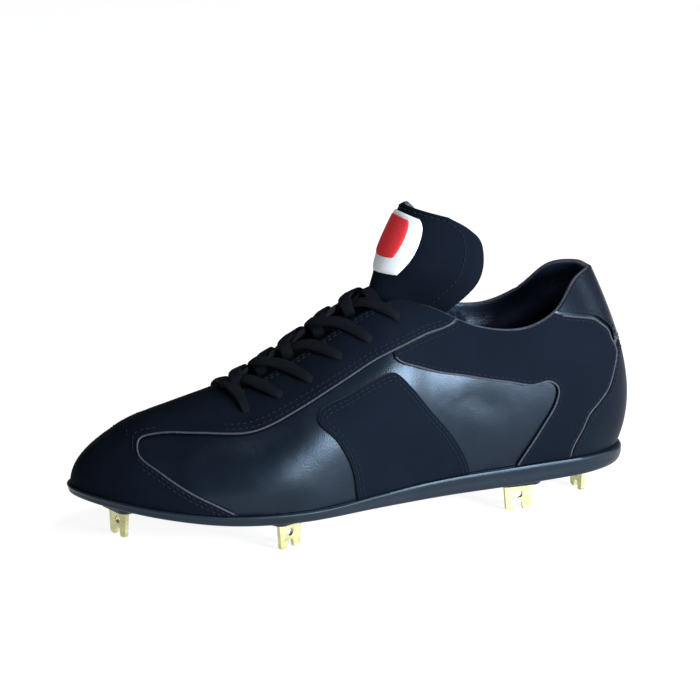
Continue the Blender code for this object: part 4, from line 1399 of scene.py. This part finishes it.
def texture(tree, scale, detail, stretch=(1, 1, 1), kind="ShaderNodeTexNoise"):
    """Noise, or another grey texture, in the shoe's own metres."""
    where = tree.nodes.new("ShaderNodeTexCoord")
    mapping = tree.nodes.new("ShaderNodeMapping")
    mapping.inputs["Scale"].default_value = stretch
    tree.links.new(where.outputs["Object"], mapping.inputs["Vector"])
    made = node(tree, kind, Scale=scale, Detail=detail)
    tree.links.new(mapping.outputs["Vector"], made.inputs["Vector"])
    return made.outputs[0]


def ramp(tree, source, low, high, start=0.35, end=0.65):
    """Two colours, or greys, blended by a factor."""
    made = tree.nodes.new("ShaderNodeValToRGB")
    made.color_ramp.elements[0].position = start
    made.color_ramp.elements[1].position = end
    for element, value in zip(made.color_ramp.elements, (low, high)):
        element.color = (*value, 1.0) if isinstance(value, tuple) else (value, value, value, 1.0)
    tree.links.new(source, made.inputs["Fac"])
    return made.outputs["Color"]


def shine_of(shader, shine, tint):
    shader.inputs["Specular IOR Level"].default_value = shine
    shader.inputs["Specular Tint"].default_value = (*tint, 1.0)


def bump(tree, shader, layers):
    """Stacks bump layers, each a height output with its distance in metres."""
    last = None
    for height, distance in layers:
        made = node(tree, "ShaderNodeBump", Strength=1.0, Distance=distance)
        tree.links.new(height, made.inputs["Height"])
        if last:
            tree.links.new(last.outputs["Normal"], made.inputs["Normal"])
        last = made
    tree.links.new(last.outputs["Normal"], shader.inputs["Normal"])


def surface(name, textures, tone, rough, relief=(), shine=0.5, tint=(1.0, 1.0, 1.0), metal=0.0):
    """A material from textures: the first blends the tone; rough is a number or a texture's blend.

    Each row of relief names a texture by its place and gives its height.
    """
    material, tree, shader = new_material(name)
    made = [texture(tree, *settings) for settings in textures]
    tree.links.new(ramp(tree, made[0], *tone), shader.inputs["Base Color"])
    if isinstance(rough, tuple):
        tree.links.new(ramp(tree, made[rough[0]], *rough[1:]), shader.inputs["Roughness"])
    else:
        shader.inputs["Roughness"].default_value = rough
    shader.inputs["Metallic"].default_value = metal
    shine_of(shader, shine, tint)
    if relief:
        bump(tree, shader, [(made[place], height) for place, height in relief])
    return material


def matte_material():
    """Matte microfibre with a fine nap and soft clouding."""
    tone = (0.0022, 0.0034, 0.0070), (0.0036, 0.0053, 0.0102)
    return surface("matte_microfibre", [(45, 4), (1500, 2)], tone, (0, 0.78, 0.90),
                   ((0, 0.0004), (1, 0.00012)), 0.08, (0.45, 0.68, 1.0))


def coated_material(name, low, high, shine):
    """Smooth coated synthetic leather with faint grain, between two roughnesses."""
    tone = (0.0020, 0.0036, 0.0075), (0.0032, 0.0054, 0.0105)
    grain = (1400, 0, (1, 1, 1), "ShaderNodeTexVoronoi")
    return surface(name, [(30, 3), grain], tone, (0, low, high), ((0, 0.0005), (1, 0.00003)),
                   shine, (0.56, 0.76, 1.0))


def edge_material():
    """The paler core that shows where the overlays are cut."""
    tone = (0.017, 0.020, 0.034), (0.034, 0.039, 0.060)
    return surface("cut_edge", [(900, 2)], tone, 0.85)


def lining_material():
    """Satin padded lining, dark blue."""
    tone = (0.0045, 0.0068, 0.0170), (0.0085, 0.0125, 0.0290)
    return surface("lining_satin", [(60, 3), (1800, 1)], tone, 0.34, ((1, 0.00012),), 0.80, (0.55, 0.75, 1.0))


def cloth_material(name, dark, light, rough, scale):
    """Plain woven cloth or thread."""
    return surface(name, [(scale, 2)], (dark, light), rough, ((0, 0.0002),), 0.14, (0.60, 0.80, 1.0))


def sole_material():
    """Satin moulded plate with a fine spark texture."""
    tone = (0.0030, 0.0048, 0.0090), (0.0050, 0.0076, 0.0135)
    return surface("sole_moulded", [(25, 4), (1100, 2)], tone, (0, 0.34, 0.46), ((1, 0.00008),),
                   0.34, (0.55, 0.78, 1.0))


def brass_material():
    """Plated steel plate with a pale khaki tone and brushed marks."""
    tone = (0.46, 0.44, 0.21), (0.62, 0.60, 0.34)
    brushed = (700, 3, (0.12, 0.12, 1.0))
    return surface("blade_plated", [(160, 3), brushed], tone, (1, 0.30, 0.50), ((1, 0.00006),), metal=0.75)


WEAVE_STRIP = 0.125
WEAVE_SLOPE = 2.4
WEAVE_PITCH = 62.0


def lace_material():
    """Flat woven cotton: a herringbone across and along the lace."""
    material, tree, shader = new_material("lace_cotton")
    where = tree.nodes.new("ShaderNodeTexCoord")
    split = tree.nodes.new("ShaderNodeSeparateXYZ")
    tree.links.new(where.outputs["UV"], split.inputs["Vector"])
    across = maths(tree, "PINGPONG", split.outputs["X"], WEAVE_STRIP)
    slope = maths(tree, "MULTIPLY_ADD", across, WEAVE_SLOPE, split.outputs["Y"])
    wave = maths(tree, "SINE", maths(tree, "MULTIPLY", slope, WEAVE_PITCH))
    height = maths(tree, "MULTIPLY_ADD", wave, 0.5, 0.5)
    fuzz = texture(tree, 2200, 2)
    colour = ramp(tree, height, (0.0015, 0.0020, 0.0034), (0.0044, 0.0057, 0.0090), 0.1, 0.9)
    tree.links.new(colour, shader.inputs["Base Color"])
    shader.inputs["Roughness"].default_value = 0.9
    shine_of(shader, 0.14, (0.70, 0.85, 1.0))
    bump(tree, shader, [(height, 0.00022), (fuzz, 0.0001)])
    return material


# Camera, floor and light

PHOTO_TURN = 20.7
PHOTO_RISE = 16.4
PHOTO_DISTANCE = 2.0
PHOTO_SCALE = 2.008e3
PHOTO_SIDE = 700
PHOTO_MIDDLE = (348.9, 417.4)
AIM = Vector((0.145, 0.0, 0.050))
SENSOR = 36.0


def build_camera():
    turn, rise = math.radians(PHOTO_TURN), math.radians(PHOTO_RISE)
    back = Vector((math.sin(turn) * math.cos(rise), math.cos(turn) * math.cos(rise), math.sin(rise)))
    data = bpy.data.cameras.new("camera")
    data.sensor_width = SENSOR
    data.lens = PHOTO_SCALE * PHOTO_DISTANCE / PHOTO_SIDE * SENSOR
    data.shift_x = (PHOTO_SIDE / 2 - PHOTO_MIDDLE[0]) / PHOTO_SIDE
    data.shift_y = (PHOTO_MIDDLE[1] - PHOTO_SIDE / 2) / PHOTO_SIDE
    data.clip_start, data.clip_end = 0.05, 50.0
    camera = place_object("camera", data)
    camera.location = AIM + SHIFT + back * PHOTO_DISTANCE
    camera.rotation_mode = "QUATERNION"
    camera.rotation_quaternion = (-back).to_track_quat("-Z", "Y")
    bpy.context.scene.camera = camera


def build_floor():
    bm = bmesh.new()
    bmesh.ops.create_grid(bm, x_segments=1, y_segments=1, size=6.0)
    material, _, shader = new_material("floor_pale")
    shader.inputs["Base Color"].default_value = (0.30, 0.30, 0.30, 1.0)
    shader.inputs["Emission Color"].default_value = (1.0, 1.0, 1.0, 1.0)
    shader.inputs["Emission Strength"].default_value = 0.90
    shader.inputs["Roughness"].default_value = 0.9
    shader.inputs["Specular IOR Level"].default_value = 0.1
    finish_object("floor", bm, (material,))


LIGHTS = (
    # name, place, size, power, colour, height that it points at
    ("key_box", (-0.72, 1.22, 0.36), (0.60, 0.50), 50, (0.90, 0.96, 1.0), 0.08),
    ("top_box", (-0.35, 0.50, 1.30), (0.70, 0.35), 10, (0.95, 0.98, 1.0), 0.04),
    ("heel_box", (-1.40, 0.30, 0.30), (0.10, 0.80), 4, (0.95, 0.98, 1.0), 0.04),
)


def build_lights():
    for name, spot, size, power, colour, height in LIGHTS:
        data = bpy.data.lights.new(name, "AREA")
        data.shape = "RECTANGLE"
        data.size, data.size_y = size
        data.energy = power
        data.color = colour
        light = place_object(name, data)
        light.location = spot
        light.rotation_mode = "QUATERNION"
        light.rotation_quaternion = (Vector((0.0, 0.0, height)) - Vector(spot)).to_track_quat("-Z", "Y")


def build_world():
    world = bpy.data.worlds.new("world")
    bpy.context.scene.world = world
    world.use_nodes = True
    background = world.node_tree.nodes["Background"]
    background.inputs["Color"].default_value = (1.0, 1.0, 1.0, 1.0)
    background.inputs["Strength"].default_value = 0.12
    bpy.context.scene.view_settings.view_transform = "Standard"


def main():
    matte, edge, lining = matte_material(), edge_material(), lining_material()
    gloss = coated_material("gloss_coated", 0.25, 0.33, 0.30)
    satin = coated_material("satin_coated", 0.42, 0.52, 0.08)
    tab = coated_material("tab_coated", 0.26, 0.34, 0.11)
    thread = cloth_material("thread_navy", (0.005, 0.007, 0.013), (0.010, 0.013, 0.022), 0.85, 3000)
    bed = cloth_material("insole_cloth", (0.008, 0.009, 0.012), (0.016, 0.018, 0.022), 0.95, 900)
    # The lace holes' near-black colour is painted shade standing in for the depth of the holes.
    dark = cloth_material("hole_painted_shade", (0.002, 0.002, 0.003), (0.004, 0.004, 0.006), 0.95, 900)
    white = cloth_material("patch_border", (0.62, 0.66, 0.70), (0.74, 0.78, 0.82), 0.8, 2600)
    red = cloth_material("patch_field", (0.50, 0.020, 0.025), (0.72, 0.045, 0.050), 0.75, 2600)
    build_outsole(sole_material())
    build_insole(bed)
    build_upper(gloss, lining, edge)
    build_overlays({"matte": matte, "tab": tab, "satin": satin}, edge)
    build_piping(edge)
    build_stitches(thread)
    build_tongue(matte, lining, thread)
    build_patch(white, red)
    build_laces(lace_material())
    build_holes(dark)
    build_blades(brass_material())
    build_floor()
    build_camera()
    build_lights()
    build_world()


main()
